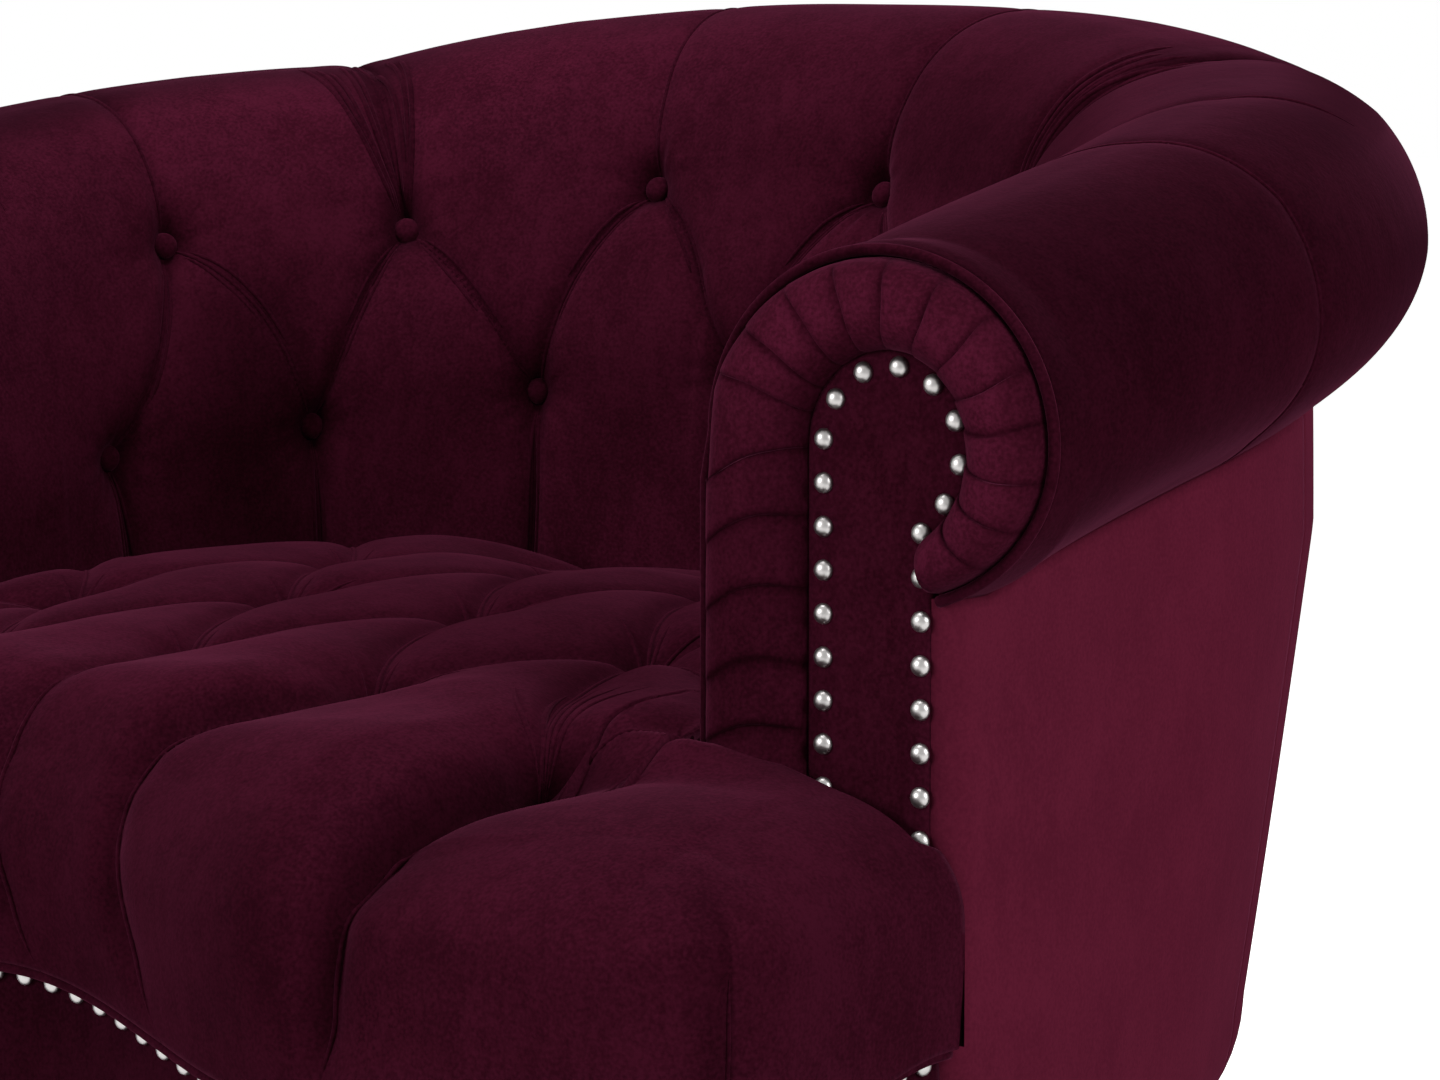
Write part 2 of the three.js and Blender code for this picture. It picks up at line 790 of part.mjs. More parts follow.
// Covered buttons, each sunk in its tuft; the pads have a pocket for each
function button(s, drop, depth, grow) {
  const p = planPoint(s);
  const lean = ease((drop - rollAbove) / (lowerDrop - rollAbove));
  const reach = rollHalfWidth + (faceReach(s) - rollHalfWidth) * lean - depth - buttonSeat - grow;
  const cap = dome(buttonRadius + grow, buttonHeight + grow * 2, buttonSideCount);
  cap.rotateZ(Math.atan2(p.nx, -p.ny));
  cap.translate(p.x - reach * p.nx, p.y - reach * p.ny, topHeight(s) - drop);
  return cap;
}

upperPlaces.forEach((s, i) => {
  add(`upper_button_${i + 1}`, button(s, upperDrop, upperDepth, 0), velvet);
});
lowerPlaces.forEach((s, i) => {
  add(`lower_button_${i + 1}`, button(s, lowerDrop, lowerDepth, 0), velvet);
});

function pocketed(pad) {
  const pockets = [
    ...upperPlaces.map((s) => button(s, upperDrop, upperDepth, gap)),
    ...lowerPlaces.map((s) => button(s, lowerDrop, lowerDepth, gap)),
  ];
  return pockets.reduce(cut, pad);
}

addPair('arm_pad', pocketed(loft(armStations, padSection)), velvet);
add('back_pad', pocketed(loft(backStations, padSection)), velvet);

// Rectangle in (u, z)
function bar(inner, outer, low, high) {
  return [
    [inner, low],
    [outer, low],
    [outer, high],
    [inner, high],
  ];
}

// Hidden frame: rails, posts on them and the top rail on the posts
const topRailSection = (s) => {
  const top = rollCentre(s) + slotRise - topRailGap;
  return bar(-topRailInner, topRailOuter, top - topRailHeight, top);
};
const topRailStations = [...leftArmStations, ...backStations, ...armStations];
add('top_rail', loft(topRailStations, topRailSection), beech);

// The back rail is chamfered below to follow the round of the cover
const railOuter = railBackInset - seatOverhang + gap;
const bendStart = backFlat + bendLength;
const backRailSection = () => [
  [-railInner, bodyBottom],
  [-railUnder, bodyBottom],
  [-railOuter, bodyBottom + railChamfer],
  [-railOuter, railTop],
  [-railInner, railTop],
];
add('back_rail', loft(range(-bendStart, bendStart, 18), backRailSection), beech);

const sideRailSection = () => bar(-railOuter - sideRailWidth, -railOuter, bodyBottom, railTop);
const sideRailEnd = halfLength - frontLine(lobePlace) - railBackInset;
const frontRailSpace = slab(
  [...bothSides(frontOutline(0, 0)), ...bothSides(frontOutline(railBackInset + gap, 0)).reverse()],
  bodyBottom - overrun,
  railTop + overrun,
);
const sideRail = loft([bendStart + gap, sideRailEnd], sideRailSection);
addPair('side_rail', cut(sideRail, frontRailSpace), beech);

const postSection = (s) => {
  const top = rollCentre(s) + slotRise - topRailGap - topRailHeight - postGap;
  return bar(-postInner, -postOuter, railTop + gap, top);
};

function post(s) {
  return loft([s - postWidth / 2, s + postWidth / 2], postSection);
}

addPair('back_post', post((pleatPlaces[0] + pleatPlaces[1]) / 2), beech);
addPair('corner_post', post((pleatPlaces[1] + pleatPlaces[2]) / 2), beech);
addPair('arm_post', post((ringPleat + halfLength) / 2), beech);

// Elastic straps from the front rail to the back rail, and the deck on them
const railInnerRadius = bendRadius - railInner;

function strap(x) {
  const bendX = Math.max(0, Math.abs(x) - backFlat);
  const back = armStraight + Math.sqrt(railInnerRadius ** 2 - bendX ** 2) + strapLap;
  const front = frontLine(Math.abs(x)) + borderRecess + borderThickness + strapLap;
  const geometry = new THREE.BoxGeometry(strapWidth, back - front, strapThickness);
  geometry.translate(x, (front + back) / 2, railTop + gap + strapThickness / 2);
  return geometry;
}

[-1, 0, 1].forEach((i) => {
  add(`seat_strap_${i + 2}`, strap(i * strapPitch), elastic);
});

function deckOutline() {
  const half = frontOutline(borderRecess + borderThickness + gap, frontDepth - gap);
  half.push([halfSpan - railInner - overrun, frontDepth - gap]);
  for (const s of range(halfLength - armFrontDepth, 0, 12)) {
    const p = planPoint(s);
    half.push([p.x - (railInner + overrun) * p.nx, p.y - (railInner + overrun) * p.ny]);
  }
  half[half.length - 1][0] = 0;
  const left = half.slice(1, -1).reverse().map(([x, y]) => [-x, y]);
  return [...half, ...left];
}

add('seat_deck', slab(deckOutline(), deckBottom, seatJoint), foam);

// Dust cover under the rails
function dustOutline() {
  const half = frontOutline(railFaceInset + overrun, armFrontDepth);
  for (const s of range(halfLength - armFrontDepth, 0, 12)) {
    const p = planPoint(s);
    const reach = railOuter + (railUnder - railOuter) * ease((p.y - coverRakeStart) / coverRakeLength);
    half.push([p.x - reach * p.nx, p.y - reach * p.ny]);
  }
  half[half.length - 1][0] = 0;
  const left = half.slice(1, -1).reverse().map(([x, y]) => [-x, y]);
  return [...half, ...left];
}

const dustTop = bodyBottom - gap;
const dustBottom = dustTop - dustCoverThickness;
add('dust_cover', slab(dustOutline(), dustBottom, dustTop), lining);

// Feet with their steel plates
const plateTop = dustBottom - gap;
const footTop = plateTop - footPlateThickness - gap;

function footPlate() {
  const geometry = new THREE.BoxGeometry(footPlateSize, footPlateSize, footPlateThickness);
  geometry.translate(0, 0, plateTop - footPlateThickness / 2);
  return geometry;
}

// Turned front foot: shares of its radius and of its height, from the toe up
const turnedShares = [
  [0, 0],
  [0.46, 0],
  [0.56, 0.03],
  [0.5, 0.09],
  [0.62, 0.3],
  [0.86, 0.56],
  [0.98, 0.68],
  [0.86, 0.76],
  [0.7, 0.79],
  [0.88, 0.83],
  [0.88, 0.87],
  [0.78, 0.9],
  [1, 0.94],
  [1, 1],
  [0, 1],
];

function turnedFoot() {
  const profile = turnedShares.map(([r, h]) => new THREE.Vector2(r * frontFootRadius, h * footTop));
  const geometry = new THREE.LatheGeometry(profile, footSideCount);
  geometry.rotateX(Math.PI / 2);
  return geometry;
}

// Square back foot, smaller at the toe and raked backwards
function taperedFoot() {
  const square = (size, y, z) => {
    const h = size / 2;
    const corners = [[-h, -h], [h, -h], [h, h], [-h, h]];
    return corners.map((c) => [c[0], c[1] + y, z]);
  };
  const head = square(backFootTop, 0, footTop);
  return skin([square(backFootToe, backFootRake, 0), head], head.map(([x, y]) => [x, y]));
}

const backFoot = planPoint(backFlat + bendRadius * backFootBend);
const backFootReach = (railInner + railUnder) / 2;
const footPlaces = {
  front: { x: frontFootX, y: frontFootY, turn: 0 },
  back: {
    x: backFoot.x - backFootReach * backFoot.nx,
    y: backFoot.y - backFootReach * backFoot.ny,
    turn: -Math.atan2(backFoot.nx, backFoot.ny),
  },
};

function placeFoot(name, geometry, place, finish) {
  geometry.rotateZ(place.turn);
  geometry.translate(place.x, place.y, 0);
  addPair(name, geometry, finish);
}

placeFoot('front_foot', turnedFoot(), footPlaces.front, darkWood);
placeFoot('front_foot_plate', footPlate(), footPlaces.front, steel);
placeFoot('back_foot', taperedFoot(), footPlaces.back, darkWood);
placeFoot('back_foot_plate', footPlate(), footPlaces.back, steel);

// The origin is on the floor, under the middle of the chair's box
const outerBox = new THREE.Box3().setFromObject(chair);
chair.position.y = -(outerBox.min.y + outerBox.max.y) / 2;

export default chair;
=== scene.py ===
"""Chesterfield tub armchair in burgundy velvet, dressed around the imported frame.

Lengths are in millimetres in the chair's own plan (x = 0 at the middle, y = 0 at the
arm fronts, z = 0 on the floor) and turn into the frame's metres when a mesh is made.
"""
import json
import math

import bmesh
import bpy
import numpy as np
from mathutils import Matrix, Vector


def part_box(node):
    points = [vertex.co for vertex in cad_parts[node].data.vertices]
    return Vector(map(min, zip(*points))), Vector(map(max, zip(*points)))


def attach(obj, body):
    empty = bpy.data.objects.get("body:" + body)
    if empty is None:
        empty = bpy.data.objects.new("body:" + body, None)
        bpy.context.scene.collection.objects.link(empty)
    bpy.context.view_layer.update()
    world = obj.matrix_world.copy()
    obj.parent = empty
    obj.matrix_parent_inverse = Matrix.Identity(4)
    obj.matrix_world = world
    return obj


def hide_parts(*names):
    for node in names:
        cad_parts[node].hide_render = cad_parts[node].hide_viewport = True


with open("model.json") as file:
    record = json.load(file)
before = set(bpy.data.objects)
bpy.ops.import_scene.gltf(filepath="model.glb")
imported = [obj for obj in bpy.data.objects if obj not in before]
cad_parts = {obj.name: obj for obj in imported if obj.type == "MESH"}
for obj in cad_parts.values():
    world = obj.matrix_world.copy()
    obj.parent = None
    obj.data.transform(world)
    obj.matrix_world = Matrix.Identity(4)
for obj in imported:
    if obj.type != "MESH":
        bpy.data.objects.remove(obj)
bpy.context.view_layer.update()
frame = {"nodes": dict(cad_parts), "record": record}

MM = 0.001

# Driving sizes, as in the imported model
ARM_TOP = 700.0
BACK_RISE = 118.0
RISE_SHARE = 0.85
HALF_SPAN = 465.0
BEND_RADIUS = 440.0
ARM_STRAIGHT = 220.0
BODY_BOTTOM = 175.0
SEAT_JOINT = 306.0
ARM_FRONT_DEPTH = 30.0
BAND_FRONT = 10.0

# Roll and inner face
ROLL_HALF = 103.0
ROLL_ABOVE = 95.0
ROLL_BELOW = 84.0
ROLL_MEAN = 99.0
ROLL_END = math.radians(-71)
BAND_REACH = 108.0
FACE_REACH_ARM = 150.0
FACE_REACH_BACK = 162.0
FACE_BLEND_START = 30.0
FACE_BLEND_LENGTH = 90.0
FACE_BOTTOM = 309.0
CORE_INNER = 44.0
CORE_OUTER = 34.0
SLOT_RISE = 10.0

# Pleats and buttons of the tub
PLEATS = (111.0, 333.0, 553.0)
RING = 705.0
UPPER_DROP = 105.0
LOWER_DROP = 228.0
BUTTON_RADIUS = 8.6
BUTTON_HEIGHT = 7.5
BUTTON_LIFT = 6.0

BACK_FLAT = HALF_SPAN - BEND_RADIUS
BEND_LENGTH = BEND_RADIUS * math.pi / 2
TUB_DEPTH = ARM_STRAIGHT + BEND_RADIUS
HALF_LENGTH = BACK_FLAT + BEND_LENGTH + ARM_STRAIGHT
FRAME_SHIFT = -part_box("right_arm_welt")[0][1] - BAND_FRONT * MM


def to_frame(points):
    """Chair millimetres to frame metres."""
    moved = np.asarray(points, float) * MM
    moved[..., 1] -= FRAME_SHIFT
    return moved


def clip01(t):
    return np.clip(t, 0.0, 1.0)


def ease(t):
    c = clip01(t)
    return c * c * (3 - 2 * c)


def lerp(a, b, t):
    return a + (b - a) * t


def bell(distance, width):
    return np.exp(-(distance / width) ** 2)


# Mesh building

def add_object(name, data):
    """A new object in the scene."""
    thing = bpy.data.objects.new(name, data)
    bpy.context.scene.collection.objects.link(thing)
    return thing


def turned_over(faces):
    return [list(face)[::-1] for face in faces]


def make_mesh(name, shape, material, replaced=(), flat=0, painted_shading=1.0, mirror=False):
    """Piece from a shape's points, in chair millimetres, and its faces.

    The last flat faces are shaded flat, painted_shading is painted light and shade: a factor
    on the colour at each point, and mirror puts the shape on the other side of the chair.
    """
    points, faces = shape
    if mirror:
        points, faces = points * (-1, 1, 1), turned_over(faces)
    mesh = bpy.data.meshes.new(name)
    mesh.from_pydata(to_frame(points).tolist(), [], [list(map(int, face)) for face in faces])
    mesh.validate()
    shell = bmesh.new()
    shell.from_mesh(mesh)
    bmesh.ops.recalc_face_normals(shell, faces=shell.faces)
    shell.to_mesh(mesh)
    shell.free()
    is_smooth = np.arange(len(mesh.polygons)) < len(mesh.polygons) - flat
    mesh.polygons.foreach_set("use_smooth", is_smooth)
    mesh.update()
    # painted light and shade: a factor per point that the velvet multiplies into its colour
    shade = mesh.attributes.new("painted_shading", "FLOAT", "POINT")
    shade.data.foreach_set("value", np.full(len(mesh.vertices), painted_shading, np.float32))
    mesh.materials.append(material)
    piece = add_object(name, mesh)
    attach(piece, "root")
    if replaced:
        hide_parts(*replaced)
    return piece


def grid_faces(rows, columns, wrap=False):
    """Quads of a rows by columns grid; wrap joins the last column to the first."""
    r = np.arange(rows - 1)[:, None]
    last = columns if wrap else columns - 1
    c = np.arange(last)[None, :]
    d = (c + 1) % columns
    a = r * columns + c
    b = r * columns + d
    return np.stack([a, b, b + columns, a + columns], axis=-1).reshape(-1, 4)


def closed_shell(rings):
    """Shape of an array of closed rings, with one flat face at each end."""
    count, sides = rings.shape[:2]
    faces = grid_faces(count, sides, wrap=True).tolist()
    faces.append(list(range(sides))[::-1])
    faces.append([(count - 1) * sides + k for k in range(sides)])
    return rings.reshape(-1, 3), faces


def lathe_rings(profile, sides):
    """Rings round the z axis, one for each (radius, height) of a profile."""
    turn = np.linspace(0, 2 * np.pi, sides, endpoint=False)
    rings = [(r * np.cos(turn), r * np.sin(turn), np.full(sides, h)) for r, h in profile]
    return np.array(rings).transpose(0, 2, 1)


def dome(profile, sides):
    """Shape from the tip of a profile of (radius, height) down to a flat back."""
    rings = lathe_rings(profile[1:], sides)
    faces = [[0, 1 + k, 1 + (k + 1) % sides] for k in range(sides)]
    faces += (grid_faces(len(rings), sides, wrap=True)[:, ::-1] + 1).tolist()
    faces.append([1 + (len(rings) - 1) * sides + k for k in range(sides)][::-1])
    return np.vstack([[(0, 0, profile[0][1])], rings.reshape(-1, 3)]), faces


def facing(points, direction):
    """Points turned so that their z axis looks along a direction."""
    turn = np.array(Vector(direction).to_track_quat("Z", "Y").to_matrix())
    return points @ turn.T


def tube(path, radius, sides=8):
    """Shape of a round tube along a path; radius may vary along it."""
    tangent = np.gradient(path, axis=0)
    tangent /= np.linalg.norm(tangent, axis=1, keepdims=True)
    side = np.cross(tangent[0], [0, 0, 1])
    if np.linalg.norm(side) < 0.1:
        side = np.cross(tangent[0], [1, 0, 0])
    turn = np.linspace(0, 2 * np.pi, sides, endpoint=False)[:, None]
    rings = []
    for place, along, r in zip(path, tangent, np.broadcast_to(radius, (len(path),))):
        side = side - along * side.dot(along)
        side /= np.linalg.norm(side)
        rings.append(place + r * (np.cos(turn) * side + np.sin(turn) * np.cross(side, along)))
    return closed_shell(np.array(rings))


def taper(count, rise=9, fall=9):
    """Thickness shares along a fold: thin at both ends."""
    share = np.linspace(0, 1, count)
    return np.clip(np.minimum(share * rise, (1 - share) * fall), 0.15, 1)


def merge(shapes):
    """Several shapes as one."""
    points, faces, base = [], [], 0
    for some_points, some_faces in shapes:
        points.append(some_points)
        faces += [[i + base for i in face] for face in some_faces]
        base += len(some_points)
    return np.vstack(points), faces


def run_lengths(path):
    """How far along a polyline each of its points lies."""
    return np.r_[0, np.cumsum(np.linalg.norm(np.diff(path, axis=0), axis=1))]


def spread_along(line, values, spacing, ends=0.0):
    """Values at even distances along a line, as near to a spacing as a whole count allows."""
    lengths = run_lengths(line)
    count = max(1, int(round(lengths[-1] / spacing)))
    at = np.linspace(ends, lengths[-1] - ends, count + 1)
    return np.stack([np.interp(at, lengths, row) for row in values.T], axis=1)


def resample(path, step):
    """Points at even distances along a polyline."""
    path = np.asarray(path, float)
    return spread_along(path, path, step)


# Pleats: a crease is a polyline in the two coordinates of an unrolled surface

def crease_field(a, b, stretch, line, depths):
    """Distance from grid points (a, b) to a polyline, and its depth at the nearest place."""
    lengths = run_lengths(line)
    share = lengths / lengths[-1]
    best = np.full(np.shape(a), 1e9)
    place = np.zeros(np.shape(a))
    for i in range(len(line) - 1):
        da, db = (line[i + 1, 0] - line[i, 0]) * stretch, line[i + 1, 1] - line[i, 1]
        pa, pb = (a - line[i, 0]) * stretch, b - line[i, 1]
        t = clip01((pa * da + pb * db) / np.maximum(da * da + db * db, 1e-9))
        distance = np.hypot(pa - t * da, pb - t * db)
        nearer = distance < best
        best = np.where(nearer, distance, best)
        place = np.where(nearer, share[i] + t * (share[i + 1] - share[i]), place)
    return best, np.interp(place, np.linspace(0, 1, len(depths)), depths)


def round_shoulder(distance, reach, floor=1.6):
    """1 in the crease, falling to 0 at reach with a rounded shoulder."""
    x = clip01((np.sqrt(distance ** 2 + floor ** 2) - floor * 0.4) / reach)
    return 1 - np.sqrt(np.maximum(0.0, 1 - (1 - x) ** 2))


def pocket(r, layers):
    """Depth share of a tuft's pocket at distance r, from layers of (share, reach, floor)."""
    return sum(share * round_shoulder(r, reach, floor) for share, reach, floor in layers)


def soft_max(values, power=3.0):
    total = sum(np.maximum(v, 0.0) ** power for v in values)
    return total ** (1 / power)


def bowed(start, end, bow, count=14):
    """A line between two places that bows sideways by a share of its length."""
    start, end = np.array(start, float), np.array(end, float)
    t = np.linspace(0, 1, count)[:, None]
    side = np.array([-(end - start)[1], (end - start)[0]])
    return start + (end - start) * t + side * bow * np.sin(np.pi * t)


# Plan of the tub

def plan(s):
    s = np.asarray(s, float)
    side = np.where(s < 0, -1.0, 1.0)
    t = np.abs(s)
    angle = np.clip((t - BACK_FLAT) / BEND_RADIUS, 0, math.pi / 2)
    x = np.minimum(t, BACK_FLAT) + BEND_RADIUS * np.sin(angle)
    y = ARM_STRAIGHT + BEND_RADIUS * np.cos(angle) - np.maximum(t - BACK_FLAT - BEND_LENGTH, 0)
    return side * x, y, side * np.sin(angle), np.cos(angle)


def top_height(y):
    share = clip01((y - ARM_FRONT_DEPTH) / (TUB_DEPTH - ARM_FRONT_DEPTH))
    return ARM_TOP + BACK_RISE * share ** RISE_SHARE


def face_reach(y):
    arm = lerp(BAND_REACH, FACE_REACH_ARM, ease((y - FACE_BLEND_START) / FACE_BLEND_LENGTH))
    return arm + (FACE_REACH_BACK - FACE_REACH_ARM) * ease((y - ARM_STRAIGHT) / BEND_RADIUS)


ROLL_INNER_W = ROLL_MEAN * math.pi / 2
UPPER_W = ROLL_INNER_W + UPPER_DROP - ROLL_ABOVE
LOWER_W = ROLL_INNER_W + LOWER_DROP - ROLL_ABOVE
OUTER_W = ROLL_MEAN * (ROLL_END - math.pi / 2)
FACE_START_W = 92.0


def tub_point(s, w):
    """Smooth tub surface; w runs from the outer joint over the roll and down the face."""
    x, y, nx, ny = plan(s)
    centre = top_height(y) - ROLL_ABOVE
    angle = np.minimum(math.pi / 2 + w / ROLL_MEAN, math.pi)
    rise = np.where(angle < 0, ROLL_BELOW, ROLL_ABOVE)
    below = np.maximum(w - ROLL_INNER_W, 0)
    fill = ease((w - FACE_START_W) / (LOWER_W - FACE_START_W))
    u = ROLL_HALF * np.cos(angle) - (face_reach(y) - ROLL_HALF) * fill
    z = centre + rise * np.sin(angle) - below
    return np.stack([x + u * nx, y + u * ny, z], axis=-1)


def tub_stretch(s, w):
    """How much longer the surface is along s than the plan line, at the roll or face."""
    u = np.where(w > ROLL_INNER_W, -FACE_REACH_ARM * 0.9, ROLL_HALF * np.cos(math.pi / 2 + w / ROLL_MEAN))
    in_bend = (np.abs(s) > BACK_FLAT) & (np.abs(s) < BACK_FLAT + BEND_LENGTH)
    return np.where(in_bend, 1 + u / BEND_RADIUS, 1.0)


# Each button as sewn: a little off its even place along the tub, and up or down
UPPER_SHIFTS = ((0.0, 0.0), (6.0, 11.0), (0.0, -8.0))
LOWER_SHIFTS = ((0.0, 0.0), (-13.0, 8.0), (-10.0, 8.0), (10.0, -10.0))


def upper_buttons():
    half = [(p + along, UPPER_W + down) for p, (along, down) in zip(PLEATS, UPPER_SHIFTS)]
    return [(-s, w) for s, w in half[::-1]] + half


def lower_buttons():
    even = [0.0, (PLEATS[0] + PLEATS[1]) / 2, (PLEATS[1] + PLEATS[2]) / 2, (PLEATS[2] + RING) / 2]
    half = [(p + along, LOWER_W + down) for p, (along, down) in zip(even, LOWER_SHIFTS)]
    return [(-s, w) for s, w in half[:0:-1]] + half


UPPER_BUTTONS = upper_buttons()
LOWER_BUTTONS = lower_buttons()
BOTTOM_W = LOWER_W + 200.0
OVER_TOP_W = -70.0

# How far each pleat leans towards the arm at its far end, from the middle of the back out
TOP_LEANS = (0.0, 34.0, 4.0)
FOOT_LEANS = (0.0, 14.0, 0.0, -16.0)
RING_START_W = 110.0
PILLOW_RISE = 8.0
# How far the stuffing stands out round the roll, from its outer joint over the top
OUTER_WS = (-275, -240, -200, -155, -85, -35, 0)
OUTER_RISES = (-3, -3, 1, 6, 9, 4, 0)
# Height of the stuffed crest along the tub against its even line
CREST_PLACES = (-660, -553, -480, -400, -350, -315, -270, -222, -110, 110, 222, 333, 400, 480, 600)
CREST_SHIFTS = (-4, -2, -4, -8, -8, -4, 1, 5, 9, 7, 3, -3, -4, -2, 3)
UPPER_DEPTH = 20.0
LOWER_DEPTH = 22.0
# Each crease is a broad valley with a narrow groove in it: share of its depth, shares of its reach
CREASE_SHARE = 0.6
VALLEY_REACH = 1.8
GROOVE_REACH = 0.42
BUTTON_POCKET = ((0.55, 78, 6), (0.6, 30, 6))
# Fine rays of cloth round each button: how many, how deep, how far from it and how wide
RAY_COUNT = 11
RAY_DEPTH = 0.5
RAY_DISTANCE = 20
RAY_WIDTH = 13
CREST_WIDTH = 100
UNEVENNESS = 0.9


def tub_creases():
    """Main creases as (polyline, depths along it, reach)."""
    creases = []
    for i, (place, level) in enumerate(UPPER_BUTTONS):
        side = np.sign(place)
        order = i - 3 if i > 2 else 2 - i
        top = (place + side * TOP_LEANS[order], OVER_TOP_W)
        depths = (13, 14, 13, 9, 0) if order == 1 else (12, 10, 6, 2.5, 0)
        creases.append((bowed((place, level), top, 0.02 * side), depths, 44))
    for i, (place, level) in enumerate(LOWER_BUTTONS):
        side = 1.0 if place >= 0 else -1.0
        foot = (place + side * FOOT_LEANS[abs(i - 3)], BOTTOM_W)
        creases.append((bowed((place, level), foot, 0.03 * side), (14, 13, 13), 46))
    for i, lower in enumerate(LOWER_BUTTONS):
        for j in range(max(0, i - 1), min(6, i + 1)):
            upper = UPPER_BUTTONS[j]
            side = 1 if upper[0] > lower[0] else -1
            bow = -0.1 if i in (0, 6) else 0.035 if j in (1, 4) else 0.09
            is_faint = j in (0, 5) and i in (1, 5)
            creases.append((bowed(upper, lower, bow * side), (8, 4, 9) if is_faint else (13, 12, 13), 44))
    for side in (-1, 1):
        ring = bowed((side * RING, RING_START_W), (side * (RING - 16), OUTER_W), 0.0)
        creases.append((ring, (0, 3, 3, 3, 3), 24))
    return creases


def button_fold(place, level, spread, widening, length, depth, reach):
    """A short straight fold that runs down from a button, or up where its length is below 0."""
    start = (place + spread * 0.1, level + math.copysign(8, length))
    return bowed(start, (place + spread * widening, level + length), 0.0), depth, reach


def gathers():
    """Small folds that fan out above each upper button, more at the back's outer pleats."""
    folds = []
    for i, (place, level) in enumerate(UPPER_BUTTONS):
        is_join = i in (1, 4)
        spreads = (-52, -36, -24, -12, 12, 25, 40) if is_join else (-15, 9, 18)
        length, depth, reach = (190, 7.5, 10) if is_join else (70, 3.5, 9)
        lean = np.sign(place) * TOP_LEANS[1] * 0.7 if is_join else 0.0
        for spread in spreads:
            start = (place + spread * 0.08, level - 8)
            end = (place + lean + spread, level - length + abs(spread) * 0.4)
            folds.append((bowed(start, end, 0.03 * np.sign(spread)), depth, reach))
        folds += [button_fold(place, level, spread, 2.2, 62, 2.6, 9) for spread in (-16, 15)]
    for place, level in LOWER_BUTTONS:
        for spread in (-17, 16):
            folds.append(button_fold(place, level, spread, 1.5, 88, 2.8, 10))
            folds.append(button_fold(place, level, spread, 1.6, -50, 2.2, 9))
    return folds


def faded(line, depth, a, b, stretch, reach):
    """A small fold that runs out along its length."""
    distance, deep = crease_field(a, b, stretch, line, (depth, depth * 0.8, depth * 0.3, 0))
    return deep * round_shoulder(distance, reach)


def wobble(s, w, seed, size):
    """Smooth unevenness from a few sine waves."""
    random = np.random.default_rng(seed)
    total = np.zeros(np.shape(s))
    for _ in range(7):
        a, b, phase = random.uniform(-1, 1), random.uniform(-1, 1), random.uniform(0, 6.28)
        total += np.sin((a * s + b * w) / size + phase)
    return total / 7


def tub_depth(s, w):
    """Depth of the tufting below the smooth surface, in millimetres."""
    stretch = tub_stretch(s, w)
    broad, narrow = [], []
    for line, depths, reach in tub_creases():
        distance, depth = crease_field(s, w, stretch, line, depths)
        broad.append(depth * CREASE_SHARE * round_shoulder(distance, reach * VALLEY_REACH))
        narrow.append(depth * CREASE_SHARE * round_shoulder(distance, reach * GROOVE_REACH))
    depth = soft_max(broad) + soft_max(narrow, 4.0)
    small = [faded(line, deep, s, w, stretch, reach) for line, deep, reach in gathers()]
    depth = depth + soft_max(small, 2.0)
    for buttons, deep in ((UPPER_BUTTONS, UPPER_DEPTH), (LOWER_BUTTONS, LOWER_DEPTH)):
        for place, level in buttons:
            r = np.hypot((s - place) * stretch, w - level)
            turn = np.arctan2(w - level, (s - place) * stretch)
            rays = np.cos(turn * RAY_COUNT + place) * bell(r - RAY_DISTANCE, RAY_WIDTH)
            depth = depth + deep * pocket(r, BUTTON_POCKET) + RAY_DEPTH * rays
    rise = PILLOW_RISE * ease((w - 20) / 110) + np.interp(w, OUTER_WS, OUTER_RISES)
    rise = rise * ease((HALF_LENGTH - np.abs(s)) / 150)
    crest = np.interp(s, CREST_PLACES, CREST_SHIFTS) * bell(w, CREST_WIDTH)
    depth = depth - rise - crest + UNEVENNESS * wobble(s, w, 4, 34)
    edge = ease((HALF_LENGTH - np.abs(s) + 2) / 14) * ease((w - OUTER_W) / 60)
    return depth * edge


def tub_surface(s, w):
    smooth = tub_point(s, w)
    step = 0.5
    along = tub_point(s + step, w) - tub_point(s - step, w)
    across = tub_point(s, w + step) - tub_point(s, w - step)
    normal = np.cross(across, along)
    normal /= np.maximum(np.linalg.norm(normal, axis=-1, keepdims=True), 1e-9)
    return smooth - normal * tub_depth(s, w)[..., None], normal


TUB_STEP = 3.4


def snap_columns(s_line, w_row, lines):
    """Shifts the places of one row so that a vertex lies on each crease."""
    moved = np.array(s_line)
    step = s_line[1] - s_line[0]
    for line in lines:
        low, high = min(line[0][1], line[-1][1]), max(line[0][1], line[-1][1])
        if not low <= w_row <= high:
            continue
        order = np.argsort(line[:, 1])
        cross = np.interp(w_row, line[order, 1], line[order, 0])
        i = int(round((cross - s_line[0]) / step))
        shift = cross - (s_line[0] + i * step)
        for k, share in ((-2, 0.33), (-1, 0.67), (0, 1.0), (1, 0.67), (2, 0.33)):
            if 0 < i + k < len(s_line) - 1:
                moved[i + k] = s_line[i + k] + shift * share
    return moved


def pad_joint(w):
    """Where the back pad meets the arm pad on each level: along the pleats of the outer back buttons."""
    upper, lower = UPPER_BUTTONS[4], LOWER_BUTTONS[5]
    places = [upper[0] + TOP_LEANS[1], upper[0], lower[0]]
    return float(np.interp(w, [OVER_TOP_W, upper[1], lower[1]], places))


def painted_crease_shade(depth, reach=16.0, low=0.5):
    """Painted shade: the colour is darkened down in a crease, where shade falls."""
    return lerp(1.0, low, ease((depth + 2) / reach))


